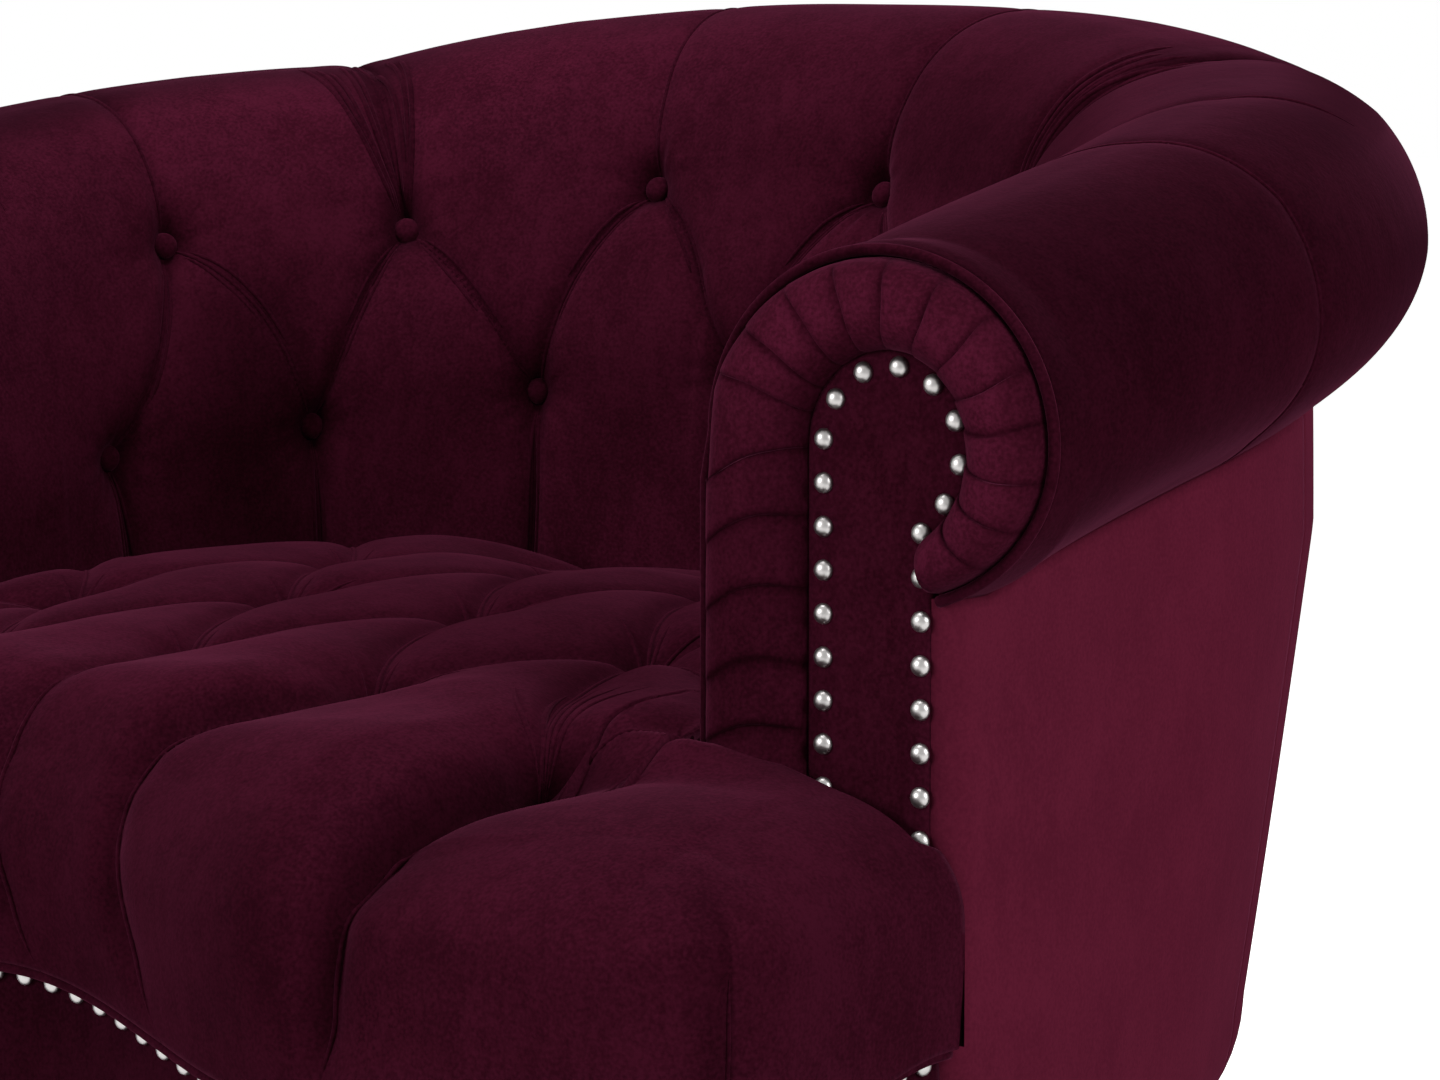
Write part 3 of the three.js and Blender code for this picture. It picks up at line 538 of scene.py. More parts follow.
def painted_tub_shading(s, w):
    """Painted light and shade on the tub: dark over the roll's top and outside, lighter on the inner face."""
    on_arm = ease((np.abs(s) - 520) / 90)
    inside = ease((w + 4 - 20 * on_arm) / 70)
    bend_shade = bell(np.abs(s) - 500, 75) * ease((w - UPPER_W) / 60)
    low = ease((w - LOWER_W) / 120)
    upper = bell(w - UPPER_W, 70) * (1 - on_arm)
    # painted light and shade: above its upper buttons the back is lighter on the left and darker on the
    # right; bends darker, the low face lighter
    directional_term = lerp(1.18, 0.6, ease((s + 300) / 700)) * (1 - on_arm) + on_arm
    outside = np.interp(np.abs(s), (300, 400, 540, 600, 680), (0.8, 0.42, 0.42, 0.5, 0.66))
    outside = outside * lerp(1.0, lerp(0.76, 1.08, ease((-40 - w) / 130)), on_arm)
    painted_shading_factor = lerp(outside, 1.3 * lerp(directional_term, 1.0, ease((w - UPPER_W + 20) / 60)), inside)
    painted_shading_factor = painted_shading_factor * (1 - 0.4 * bend_shade) * (1 + 0.3 * low) * (1 - 0.1 * upper)
    return painted_shading_factor * painted_crease_shade(tub_depth(s, w))


def tub_pad(name, start, end, replaced):
    """One closed pad of the tub: tufted front, then round the slot for the frame."""
    columns = int(round((end(0.0) - start(0.0)) / TUB_STEP)) + 1
    share = np.linspace(0, 1, columns)
    lines = [crease[0] for crease in tub_creases()]
    s_grid, w_grid = [], []
    for w in np.arange(OUTER_W, LOWER_W, TUB_STEP):
        s_grid.append(snap_columns(lerp(start(w), end(w), share), w, lines))
        w_grid.append(np.full(columns, w))
    s_line = lerp(start(BOTTOM_W), end(BOTTOM_W), share)
    x, y, nx, ny = plan(s_line)
    centre = top_height(y) - ROLL_ABOVE
    last_w = ROLL_INNER_W + centre - FACE_BOTTOM
    for down in np.linspace(0, 1, int((last_w.max() - LOWER_W) / TUB_STEP)):
        w = LOWER_W + down * (last_w - LOWER_W)
        s_grid.append(snap_columns(s_line, float(w.mean()), lines))
        w_grid.append(w)
    s_grid[-1] = s_line
    s_grid, w_grid = np.array(s_grid), np.array(w_grid)
    core = (
        (-CORE_INNER, np.full(columns, FACE_BOTTOM)),
        (-CORE_INNER, centre + SLOT_RISE),
        (CORE_OUTER, centre + SLOT_RISE),
    )
    inside = [np.stack([x + u * nx, y + u * ny, z], axis=-1) for u, z in core]
    rings = np.concatenate([tub_surface(s_grid, w_grid)[0], inside], axis=0)
    shade = np.concatenate([painted_tub_shading(s_grid, w_grid), np.ones((len(core), columns))], axis=0)
    points, faces = closed_shell(rings.transpose(1, 0, 2))
    shape = points, turned_over(faces)
    piece = make_mesh(name, shape, VELVET, [replaced], flat=2, painted_shading=shade.T.reshape(-1))


# Materials

def fill_sockets(tree, node, values=(), joins=()):
    """Gives some sockets of a node fixed values and joins others to sockets of earlier nodes."""
    for socket, value in dict(values).items():
        node.inputs[socket].default_value = value
    for socket, earlier in dict(joins).items():
        tree.links.new(earlier, node.inputs[socket])
    return node


def add_node(tree, kind, values=(), joins=(), operation=None):
    node = tree.nodes.new("ShaderNode" + kind)
    if operation:
        node.operation = operation
    return fill_sockets(tree, node, values, joins)


def principled(name, color, roughness, metallic=0.0):
    """A new material, its node tree and its shader."""
    material = bpy.data.materials.new(name)
    material.use_nodes = True
    tree = material.node_tree
    values = {"Base Color": (*color, 1), "Roughness": roughness, "Metallic": metallic}
    return material, tree, fill_sockets(tree, tree.nodes["Principled BSDF"], values)


def noise(tree, scale, detail, stretch=(1, 1, 1)):
    place = add_node(tree, "TexCoord").outputs["Object"]
    mapped = add_node(tree, "Mapping", {"Scale": stretch}, {"Vector": place}).outputs["Vector"]
    return add_node(tree, "TexNoise", {"Scale": scale, "Detail": detail}, {"Vector": mapped}).outputs["Fac"]


def mix_colors(tree, fac, low, high, colors):
    ramp = add_node(tree, "ValToRGB", (), {"Fac": fac})
    for stop, position, color in zip(ramp.color_ramp.elements, (low, high), colors):
        stop.position = position
        stop.color = (*color, 1)
    return ramp.outputs["Color"]


def bump(tree, height, strength, distance, under=()):
    """Normal from a height; under is the normal it lies on, as a join."""
    joins = {"Height": height, **dict(under)}
    return add_node(tree, "Bump", {"Strength": strength, "Distance": distance}, joins).outputs["Normal"]


# How much of the velvet's shade comes from broad patches, crushed pile and single tufts
PATCH_SHARE = 0.32
CRUSH_SHARE = 0.2
GRAIN_SHARE = 0.48
CONTRAST = 0.1
VELVET_SHEEN = {
    "Sheen Roughness": 0.38,
    "Sheen Tint": (0.80, 0.17, 0.36, 1),
    "Specular IOR Level": 0.0,
}


def velvet(name, dark, light, sheen):
    """Velvet between two colours in three layers of noise, times the painted light and shade of its mesh."""
    material, tree, shader = principled(name, light, 0.8)
    tufts = noise(tree, 480.0, 2.0)
    layers = (
        (noise(tree, 14.0, 5.0), PATCH_SHARE),
        (noise(tree, 95.0, 3.0, (1, 1, 0.5)), CRUSH_SHARE),
        (tufts, GRAIN_SHARE),
    )
    joins = {}
    for layer, share in layers:
        mixed = add_node(tree, "Math", {1: share, 2: 0.0}, {0: layer, **joins}, "MULTIPLY_ADD")
        joins = {2: mixed.outputs[0]}
    color = mix_colors(tree, mixed.outputs[0], 0.5 - CONTRAST, 0.5 + CONTRAST, (dark, light))
    # painted light and shade: the mesh's per-point factor scales the colour
    painted_shading_factor = add_node(tree, "Attribute")
    painted_shading_factor.attribute_name = "painted_shading"
    shaded = add_node(tree, "VectorMath", (), {0: color, "Scale": painted_shading_factor.outputs["Fac"]}, "SCALE")
    directional_term = bump(tree, noise(tree, 60.0, 3.0, (1, 1, 0.35)), 0.10, 0.004)
    normal = bump(tree, tufts, 0.35, 0.0005, {"Normal": directional_term})
    joins = {"Base Color": shaded.outputs["Vector"], "Normal": normal}
    fill_sockets(tree, shader, {"Sheen Weight": sheen, **VELVET_SHEEN}, joins)
    return material


VELVET = velvet("burgundy_velvet", (0.0142, 0.0015, 0.0043), (0.0268, 0.0028, 0.0082), 0.09)
# painted light: a several times brighter copy of the same velvet for the outer covers
VELVET_COVER_PAINTED_LIGHT = velvet("burgundy_velvet_cover_painted_light", (0.068, 0.0067, 0.0178), (0.088, 0.0090, 0.0232), 0.10)
# painted shading: a retuned copy of the same velvet for the front border and the nailed arm panels
VELVET_RECESS_PAINTED_SHADING = velvet("burgundy_velvet_recess_painted_shading", (0.0195, 0.0020, 0.0058), (0.037, 0.0039, 0.0112), 0.09)


def nickel():
    material, tree, shader = principled("polished_nickel", (0.36, 0.345, 0.34), 0.34, 1.0)
    wear = noise(tree, 260.0, 2.0)
    rough = add_node(tree, "MapRange", {"To Min": 0.26, "To Max": 0.44}, {"Value": wear})
    joins = {"Roughness": rough.outputs["Result"], "Normal": bump(tree, wear, 0.08, 0.001)}
    fill_sockets(tree, shader, (), joins)
    return material


def wood(name, dark, light, roughness, coat):
    material, tree, shader = principled(name, light, roughness)
    grain = noise(tree, 45.0, 5.0, (1, 1, 0.08))
    color = mix_colors(tree, grain, 0.35, 0.68, (dark, light))
    joins = {"Base Color": color, "Normal": bump(tree, grain, 0.12, 0.001)}
    fill_sockets(tree, shader, {"Coat Weight": coat, "Coat Roughness": 0.15}, joins)
    return material


def plain(name, dark, light, roughness, scale, metallic=0.0):
    material, tree, shader = principled(name, light, roughness, metallic)
    speckle = noise(tree, scale, 4.0)
    color = mix_colors(tree, speckle, 0.3, 0.7, (dark, light))
    joins = {"Base Color": color, "Normal": bump(tree, speckle, 0.2, 0.0006)}
    fill_sockets(tree, shader, (), joins)
    return material


NICKEL = nickel()
DARK_WOOD = wood("stained_wood", (0.010, 0.005, 0.003), (0.038, 0.018, 0.010), 0.48, 0.12)
CAD_MATERIALS = {
    "beech": wood("beech", (0.40, 0.25, 0.13), (0.58, 0.40, 0.24), 0.55, 0.0),
    "steel": plain("zinc_plate", (0.36, 0.37, 0.38), (0.52, 0.53, 0.54), 0.42, 90.0, 1.0),
    "webbing": plain("webbing", (0.010, 0.011, 0.016), (0.03, 0.032, 0.042), 0.85, 500.0),
    "foam": plain("foam", (0.62, 0.54, 0.32), (0.74, 0.67, 0.43), 0.95, 350.0),
    "lining": plain("lining", (0.006, 0.006, 0.007), (0.018, 0.018, 0.020), 0.9, 700.0),
    "dark_wood": DARK_WOOD,
}
for part in frame["record"]["subparts"]:
    if part["material_slot"] in CAD_MATERIALS:
        materials = frame["nodes"][part["node"]].data.materials
        materials.clear()
        materials.append(CAD_MATERIALS[part["material_slot"]])

# Tub: pads, their fold edges and the buttons
def arm_end(w):
    return HALF_LENGTH - 1.0


def mirrored(place):
    return lambda w: -place(w)


tub_pad("back_tufting", mirrored(pad_joint), pad_joint, "back_pad")
tub_pad("right_arm_tufting", pad_joint, arm_end, "right_arm_pad")
tub_pad("left_arm_tufting", mirrored(arm_end), mirrored(pad_joint), "left_arm_pad")


def fold_edge(line, radius, lift):
    """The rolled edge of a pleat, lying in its crease."""
    path = resample(line, 5.0)
    points, normal = tub_surface(path[:, 0], path[:, 1])
    return tube(points + normal * lift, radius * taper(len(points)))


def beside(line, offset, start, end):
    """Part of a line, from share start to share end, moved sideways."""
    path = resample(line, 3.0)
    along = np.gradient(path, axis=0)
    along /= np.maximum(np.linalg.norm(along, axis=1, keepdims=True), 1e-9)
    share = np.linspace(0, 1, len(path))
    spread = offset * (0.35 + 0.65 * ease(share * 3))[:, None]
    moved = path + np.column_stack([-along[:, 1], along[:, 0]]) * spread
    return moved[(share >= start) & (share <= end)]


def gather_ridges():
    """Small pinched ridges of cloth: a fan above each join button and a second line beside the pleats."""
    ridges = []
    for i, (place, level) in enumerate(UPPER_BUTTONS):
        if i not in (1, 4):
            continue
        lean = np.sign(place) * TOP_LEANS[1] * 0.9
        for k, spread in enumerate((-44, -33, -24, -15, -7, 8, 17, 27)):
            start = (place + spread * 0.16, level - 9)
            end = (place + lean + spread, level - 172 + 11 * (k % 3))
            ridges.append((bowed(start, end, 0.04 * np.sign(spread)), 2.0))
    for line, _, _ in tub_creases():
        is_foot = line[0][1] > UPPER_W + 60 and line[-1][1] > LOWER_W
        is_diagonal = line[-1][1] > line[0][1] + 60 and not is_foot
        if is_foot:
            ridges += [(beside(line, offset, 0.04, 0.6), 1.5) for offset in (-5.0, 5.5)]
        elif is_diagonal:
            ridges += [(beside(line, offset, 0.08, end), 1.3) for offset, end in ((-5.0, 0.7), (5.0, 0.55))]
    return ridges


folds = [fold_edge(crease[0], 1.5, 0.0) for crease in tub_creases()]
folds += [fold_edge(line, radius, -0.4) for line, radius in gather_ridges()]
# painted shade: the fold edges are darkened to 0.85
make_mesh("pleat_folds", merge(folds), VELVET, painted_shading=0.85)

# A covered button's dome as shares of its radius and height: flattened, with a rolled rim
BUTTON_PROFILE = (
    (0.0, 1.0), (0.25, 0.985), (0.5, 0.93), (0.74, 0.8), (0.9, 0.6),
    (0.985, 0.36), (1.0, 0.2), (0.96, 0.05), (0.8, 0.0),
)


def place_buttons(places, stem):
    points, faces = dome(BUTTON_PROFILE, 28)
    points = points * (BUTTON_RADIUS, BUTTON_RADIUS, BUTTON_HEIGHT)
    for i, place in enumerate(places, 1):
        (point,), (normal,) = tub_surface(*np.array(place)[:, None])
        shape = facing(points, normal) + point + normal * BUTTON_LIFT, faces
        node = f"{stem}_button_{i}"
        make_mesh(f"covered_{node}", shape, VELVET, [node])


place_buttons(UPPER_BUTTONS, "upper")
place_buttons(LOWER_BUTTONS, "lower")

# Seat
SEAT_HALF = HALF_SPAN + 45.0
SEAT_FRONT = 150.0
SEAT_LOBE = 64.0
LOBE_PLACE = 300.0
SWEEP_SHARE = 0.35
SEAT_CORNER = 62.0
JOINT_DIP = 33.0
SEAT_CREST = 491.0
SIDE_FALL = 40.0
FALL_PLACE = 369.0
FALL_POWER = 2.2
FRONT_FALL = 11.0
BACK_FALL = 18.0
TUB_FALL = 20.0
TUB_FALL_REACH = 55.0
EDGE_HEIGHT = 368.0
MIDDLE_REACH = 80.0
FRONT_REACH = 190.0
SIDE_REACH = 100.0
RAMP_REACH = 150.0
EDGE_POWER = 2.2
SEAT_BELLY = 13.0
# Painted light and shade on the seat: an overall factor, a painted highlight on the front towards the lobes
# and on the top's front rows
SEAT_PAINTED_SHADING = 0.98
FRONT_LIT = (0.93, 1.38)
TOP_LIT = 1.14
TUFT_POCKET = ((0.55, 84, 10), (0.32, 30, 8))
TUFT_SHARE = 0.72
# Runs of the cushion's side, rounded edge and wall, with the lengths that set their rows
LEVEL_RUNS = (("edge", 130), ("wall", 74))
# The dart at each front corner: its place round the corner, its top and the columns beside it
CORNER_SEAM = math.radians(52)
CORNER_SEAM_TOP = 372.0
DART_COLUMNS = (-4.0, -2.2, -1.0, 0.0, 1.0, 2.2, 4.0)
# The lip of cloth that closes the joint beside the side cover
LIP_COLUMNS = 3
LIP_START = 493.0
LIP_GAP = -1.2
BORDER_END = 0.6
EDGE_BACK = 34.0
SEAT_BACK_REACH = 36.0
WING_BACK = BAND_FRONT + 2.0
SEAT_CLEAR = 6.0
SEAT_STEP = 3.4


def joint_height(x, y):
    """Height of the line under the cushion: it hangs lower under the lobes than at the middle and sides."""
    lobe = ease(np.abs(x) / 240)
    side = ease((y + 150) / 140)
    return SEAT_JOINT + 7 - lerp(JOINT_DIP, 8.0, side) * lobe


def front_line(x):
    x = np.abs(x)
    lobe = np.sin(math.pi / 2 * clip01(x / LOBE_PLACE)) ** 2
    back = ease((x - LOBE_PLACE) / (SEAT_HALF - LOBE_PLACE)) * SEAT_LOBE * SWEEP_SHARE
    return -(SEAT_FRONT + SEAT_LOBE * lobe - back)


CORNER_X = SEAT_HALF - SEAT_CORNER
CORNER_Y = float(front_line(CORNER_X)) + SEAT_CORNER


def seat_back_line(x):
    """Rear edge of the seat for each x: the tub's inner face, or the arm fronts on the wings."""
    s = np.linspace(0, HALF_LENGTH - FACE_BLEND_START, 400)
    px, py, nx, ny = plan(s)
    reach = face_reach(py) + SEAT_CLEAR
    edge_x, edge_y = px - reach * nx, py - reach * ny
    order = np.argsort(edge_x)
    inside = np.interp(np.abs(x), edge_x[order], edge_y[order])
    return np.where(np.abs(x) > edge_x.max(), -WING_BACK, inside)


# Tuft places of one half as (x, y, depth), row by row from the front; the other half mirrors them
HALF_TUFTS = [
    (0, -4, 46), (145, -15, 50), (292, -58, 54),
    (72, 160, 42), (217, 132, 46),
    (0, 320, 36), (145, 300, 38),
]
SEAT_TUFTS = HALF_TUFTS + [(-x, y, deep) for x, y, deep in HALF_TUFTS if x > 0]
ARM_CORNER = (362.0, -8.0)
FRONT_SEAMS = {0: (-8.0, 60.0), 145: (93.0, 158.0), 292: (284.0, 274.0)}
FRONT_SEAM_DEPTHS = {0: (18, 15, 9, 7, 5), 145: (28, 26, 12, 10, 8), 292: (46, 41, 33, 20, 10)}
OVER_EDGE = 330.0
# How far behind its tuft each front seam's ramp starts, and over which length it comes in
RAMP_STARTS = {0: (20.0, 100.0), 145: (20.0, 100.0), 292: (44.0, 46.0)}
# Seams from the outer tufts to the arms and the tub: start, end, bow, depths and reach
SIDE_SEAMS = (
    ((292, -58), ARM_CORNER, 0.12, (14, 10, 12), 36),
    ((217, 132), (330, 60), 0.05, (13, 10, 8), 50),
    ((217, 132), (310, 230), 0.05, (13, 10, 8), 50),
    ((145, 300), (240, 400), 0.05, (12, 10, 8), 50),
    ((145, 300), (72, 450), 0.05, (12, 10, 8), 50),
    ((0, 320), (72, 450), 0.05, (12, 10, 8), 50),
)


def seat_creases():
    """Creases as (polyline, depths along it, reach): front seams, diagonals, then side seams."""
    creases = []
    for x, y, _ in SEAT_TUFTS:
        if abs(x) in FRONT_SEAMS and y < 0:
            t = np.linspace(0, 1, 14)
            across = (-1 if x < 0 else 1) * front_seam_place(abs(x), t)
            seam = np.column_stack([across, y - OVER_EDGE * t])
            creases.append((seam, FRONT_SEAM_DEPTHS[abs(x)], 66))
    places = np.array([(x, y) for x, y, _ in SEAT_TUFTS], float)
    for i, (x, y) in enumerate(places):
        for other_x, other_y in places[i + 1:]:
            is_diagonal = 40 < abs(other_x - x) < 100 and 100 < abs(other_y - y) < 230
            if is_diagonal:
                creases.append((bowed((x, y), (other_x, other_y), 0.05), (15, 13, 14), 58))
    for side in (-1, 1):
        for (x, y), (end_x, end_y), bow, depths, reach in SIDE_SEAMS:
            creases.append((bowed((side * x, y), (side * end_x, end_y), bow * side), depths, reach))
    return creases


# Short folds beside the arm corner: start, bow, reach, then each one's end and depth
CORNER_GATHERS = (
    ((290, -50), 0.06, 11, ((222, 12, 3.5), (236, 46, 4.0), (250, 60, 4.0), (268, 66, 3.5), (290, 60, 3.0))),
    (ARM_CORNER, -0.1, 9, ((300, 60, 2.2), (318, 84, 2.2), (338, 100, 2.2))),
)


def seat_gathers():
    """Short folds that run into the tufts and the arm corners."""
    folds = []
    for side in (-1, 1):
        for (x, y), bow, reach, ends in CORNER_GATHERS:
            for end_x, end_y, depth in ends:
                folds.append((bowed((side * x, y), (side * end_x, end_y), bow * side), depth, reach))
    for x, y, _ in SEAT_TUFTS[:2] + SEAT_TUFTS[3:]:
        for turn in (0.25, 0.4, 0.62, 0.8):
            angle = math.pi * turn
            end = (x + 62 * math.cos(angle), y + 62 * math.sin(angle))
            folds.append((bowed((x, y), end, 0.0), 2.4, 9))
    return folds


def front_seam_place(place, t):
    """How far from the middle a front seam lies at share t of its way over the front."""
    middle, foot = FRONT_SEAMS[place]
    return lerp(place, middle, ease(t * 2.2)) + (foot - middle) * clip01(t * 1.8 - 0.8) ** 2


def front_ramps(x, y):
    """The pillow outside each front seam starts low and rises slowly away from it."""
    ramps = []
    for place, start_y, _ in HALF_TUFTS[:3]:
        t = clip01((start_y - y) / OVER_EDGE)
        depth = np.interp(t, np.linspace(0, 1, 5), FRONT_SEAM_DEPTHS[place])
        away = np.abs(x) - front_seam_place(place, t)
        outside = clip01(1 - away / RAMP_REACH) ** 1.3
        inside = clip01(1 + away / 26) ** 2
        lead, length = RAMP_STARTS[place]
        starts = ease((start_y + lead - y) / length)
        ramps.append(depth * np.where(away > 0, outside, inside) * starts)
    return ramps


def seat_depth(x, y):
    """Depth of the tufting below the seat's smooth crown, in millimetres."""
    one = np.ones(np.shape(x))
    broad, narrow = [], []
    for line, depths, reach in seat_creases():
        distance, depth = crease_field(x, y, one, line, depths)
        broad.append(depth * TUFT_SHARE * round_shoulder(distance, reach * 1.15, 5))
        narrow.append(np.minimum(depth, 12) * 0.45 * round_shoulder(distance, 20))
    broad += front_ramps(x, y)
    depth = soft_max(broad) + soft_max(narrow, 4.0)
    small = [faded(line, deep, x, y, one, reach) for line, deep, reach in seat_gathers()]
    depth = depth + soft_max(small, 2.0)
    for tx, ty, deep in SEAT_TUFTS:
        r = np.hypot(x - tx, y - ty)
        depth = depth + deep * TUFT_SHARE * pocket(r, TUFT_POCKET)
    return depth + 1.2 * wobble(x, y, 9, 42)


def tub_gap(x, y):
    """How far a place on the seat is from the tub's inner face."""
    arm = HALF_SPAN - FACE_REACH_ARM - np.abs(x)
    bend = BEND_RADIUS - FACE_REACH_BACK - np.hypot(np.abs(x) - BACK_FLAT, np.maximum(y - ARM_STRAIGHT, 0))
    back = TUB_DEPTH - FACE_REACH_BACK - y
    return np.where(y < ARM_STRAIGHT, arm, np.where(np.abs(x) > BACK_FLAT, bend, back))


def seat_level(x, y):
    """Crown of the seat: highest behind the middle, falling to the sides, the tub and the front."""
    x = np.abs(x)
    side_fall = SIDE_FALL * lerp(1.0, 0.35, ease((y - 20) / 160))
    level = SEAT_CREST - side_fall * (x / FALL_PLACE) ** FALL_POWER
    level = level - FRONT_FALL * ease((230 - y) / 200) * (1 - ease((x - 230) / 100))
    level = level - BACK_FALL * ease((y - 300) / 110) * (1 - ease((x - 60) / 110))
    return level - TUB_FALL * clip01(1 - tub_gap(x, y) / TUB_FALL_REACH) ** 1.6 * ease((y - 40) / 120)


def edge_share(t):
    """Height share of the rounded edge: 1 on top, 0 at the wall."""
    return (1 - clip01(t) ** EDGE_POWER) ** (1 / EDGE_POWER)


def front_reach(x):
    return lerp(MIDDLE_REACH, FRONT_REACH, ease(np.abs(x) / 340))


def seat_top_height(x, y):
    inset = y - front_line(x)
    level = seat_level(x, y)
    return EDGE_HEIGHT + (level - EDGE_HEIGHT) * edge_share(1 - inset / front_reach(x))


def tuft_shade(depth):
    """Painted shade on the seat: only its deeper pits are darkened."""
    return painted_crease_shade(depth - 8, 40, 0.45)


def seat_cushion():
    """Closed cushion: a top of columns from back to front, an edge strip and a wall round it."""
    columns = int(2 * CORNER_X / SEAT_STEP)
    xs = np.linspace(-CORNER_X, CORNER_X, columns)
    length = float(seat_back_line(np.array([0.0]))[0] - front_line(0) - SEAT_CORNER)
    rows = int(length / SEAT_STEP)
    y_front = front_line(xs) + SEAT_CORNER
    y_back = seat_back_line(xs)
    share = np.linspace(0, 1, rows)[:, None]
    top_y = y_back + (y_front - y_back) * share
    top_x = np.broadcast_to(xs, top_y.shape)
    wing = ease((np.abs(top_x) - 340) / 30)
    back_t = clip01(1 + (top_y - y_back[None, :]) / SEAT_BACK_REACH) * (1 - wing)
    z = seat_top_height(top_x, top_y) - EDGE_BACK * (1 - np.sqrt(1 - back_t ** 2))
    top_depth = seat_depth(top_x, top_y)
    z -= top_depth
    top = np.stack([top_x, top_y, z], axis=-1)
    # painted light: the top is lighter towards its front
    top_lit = lerp(0.96, TOP_LIT, ease((60 - top_y) / 120))
    shades = [(top_lit * tuft_shade(top_depth)).reshape(-1)]

    # Outline from the left wing's back corner round the front to the right one
    arc = np.linspace(0, math.pi / 2, max(6, int(SEAT_CORNER * 1.6 / SEAT_STEP)))
    arc = np.sort(np.r_[arc, CORNER_SEAM + np.array(DART_COLUMNS) / SEAT_CORNER])
    wing_rows = np.nonzero(top_y[:, -1] > CORNER_Y + 1e-6)[0]
    right = [(CORNER_X, CORNER_Y, math.sin(a), -math.cos(a)) for a in arc[1:]]
    right += [(CORNER_X, y, 1.0, 0.0) for y in top_y[wing_rows, -1][::-1]]
    right += [(CORNER_X, right[-1][1], 1.0, 0.0)] * LIP_COLUMNS
    left = [(-x, y, -nx, ny) for x, y, nx, ny in right][::-1]
    front = [(x, y, 0.0, -1.0) for x, y in zip(xs, y_front)]
    base = np.array(left + front + right)
    first_row = (rows - 1) * columns
    ring = [0] * LIP_COLUMNS + list(wing_rows * columns) + [first_row] * (len(arc) - 1)
    ring += [first_row + i for i in range(columns)]
    ring += [first_row + columns - 1] * (len(arc) - 1)
    ring += [r * columns + columns - 1 for r in wing_rows[::-1]] + [columns - 1] * LIP_COLUMNS
    lip = np.zeros(len(base))
    lip[:LIP_COLUMNS] = np.linspace(1, 0, LIP_COLUMNS + 1)[:-1]
    lip[-LIP_COLUMNS:] = np.linspace(0, 1, LIP_COLUMNS + 1)[1:]

    start_z = seat_top_height(base[:, 0], base[:, 1])
    facing = base[:, 2] ** 2
    joint = joint_height(*(base[:, :2] + base[:, 2:4] * SEAT_CORNER).T)
    reach = lerp(front_reach(base[:, 0]), SIDE_REACH, facing)
    start_share = edge_share(1 - SEAT_CORNER / reach)
    strip, flats, travel = [], [], np.zeros(len(base))
    last_xy, last_z = base[:, :2].copy(), start_z
    start_turn = np.arcsin((1 - SEAT_CORNER / reach) ** (EDGE_POWER / 2))
    levels = [(kind, t) for kind, run in LEVEL_RUNS for t in np.linspace(0, 1, int(run / SEAT_STEP))[1:]]
    corner_angle = np.arctan2(np.abs(base[:, 2]), -base[:, 3])
    # painted light on the front out towards the lobes, painted shade on the sides and beside each corner dart
    front_lit = np.interp(np.abs(base[:, 0]), (230, 330), FRONT_LIT) * lerp(1, 0.86, facing)
    dart_gap = (corner_angle - CORNER_SEAM) * SEAT_CORNER
    on_corner = (facing > 0.01) & (facing < 0.99)
    front_lit *= 1 - on_corner * 0.3 * bell(dart_gap, 14) * (dart_gap < 1)
    for kind, value in levels:
        if kind == "edge":
            turn = lerp(start_turn, math.pi / 2, value)
            t = np.sin(turn) ** (2 / EDGE_POWER)
            inset = reach * (1 - t)
            z_now = EDGE_HEIGHT + (start_z - EDGE_HEIGHT) * edge_share(t) / start_share
            lean = np.full(len(base), math.sin(math.pi / 2 * value))
        else:
            inset = np.zeros(len(base))
            z_now = lerp(EDGE_HEIGHT, joint + 0.5, value)
            lean = np.ones(len(base))
        below = clip01((SEAT_CREST - 60 - z_now) / (SEAT_CREST - 60 - joint))
        belly = SEAT_BELLY * lerp(1.0, 0.35, facing) * np.sin(math.pi * below)
        belly = belly + lerp(-1.5, 1.5, facing) * below ** 4
        xy = base[:, :2] + base[:, 2:4] * (SEAT_CORNER - inset + belly)[:, None]
        xy[:, 1] += lip * (-LIP_GAP - base[:, 1]) * ease((np.abs(xy[:, 0]) - LIP_START) / 8)
        travel = travel + np.hypot(np.linalg.norm(xy - last_xy, axis=1), z_now - last_z)
        last_xy, last_z = xy, z_now
        flat_x = base[:, 0] + travel * base[:, 2]
        flat_y = base[:, 1] + travel * base[:, 3]
        near_welt = ease((z_now - joint) / 46)
        depth = seat_depth(flat_x, flat_y) * lerp(0.04, 1, near_welt)
        dart = 5.0 * round_shoulder(np.abs(dart_gap), 9) * on_corner
        depth = depth + dart * ease((CORNER_SEAM_TOP - z_now) / 12)
        shift = base[:, 2:4] * (depth * lean)[:, None]
        strip.append(np.column_stack([xy - shift, z_now - depth * np.sqrt(1 - lean ** 2)]))
        lit = lerp(TOP_LIT, front_lit, ease(value) if kind == "edge" else 1)
        shades.append(lit * tuft_shade(depth))
        flats.append(np.column_stack([flat_x, flat_y]))
    strip, flats = np.array(strip), np.array(flats)

    points = [top.reshape(-1, 3), strip.reshape(-1, 3)]
    count = len(base)
    start = rows * columns
    faces = grid_faces(rows, columns).tolist()
    for level in range(len(levels)):
        now = [start + level * count + i for i in range(count)]
        for i in range(count - 1):
            if ring[i] == ring[i + 1]:
                faces.append([ring[i], now[i], now[i + 1]])
            else:
                faces.append([ring[i], now[i], now[i + 1], ring[i + 1]])
        ring = now
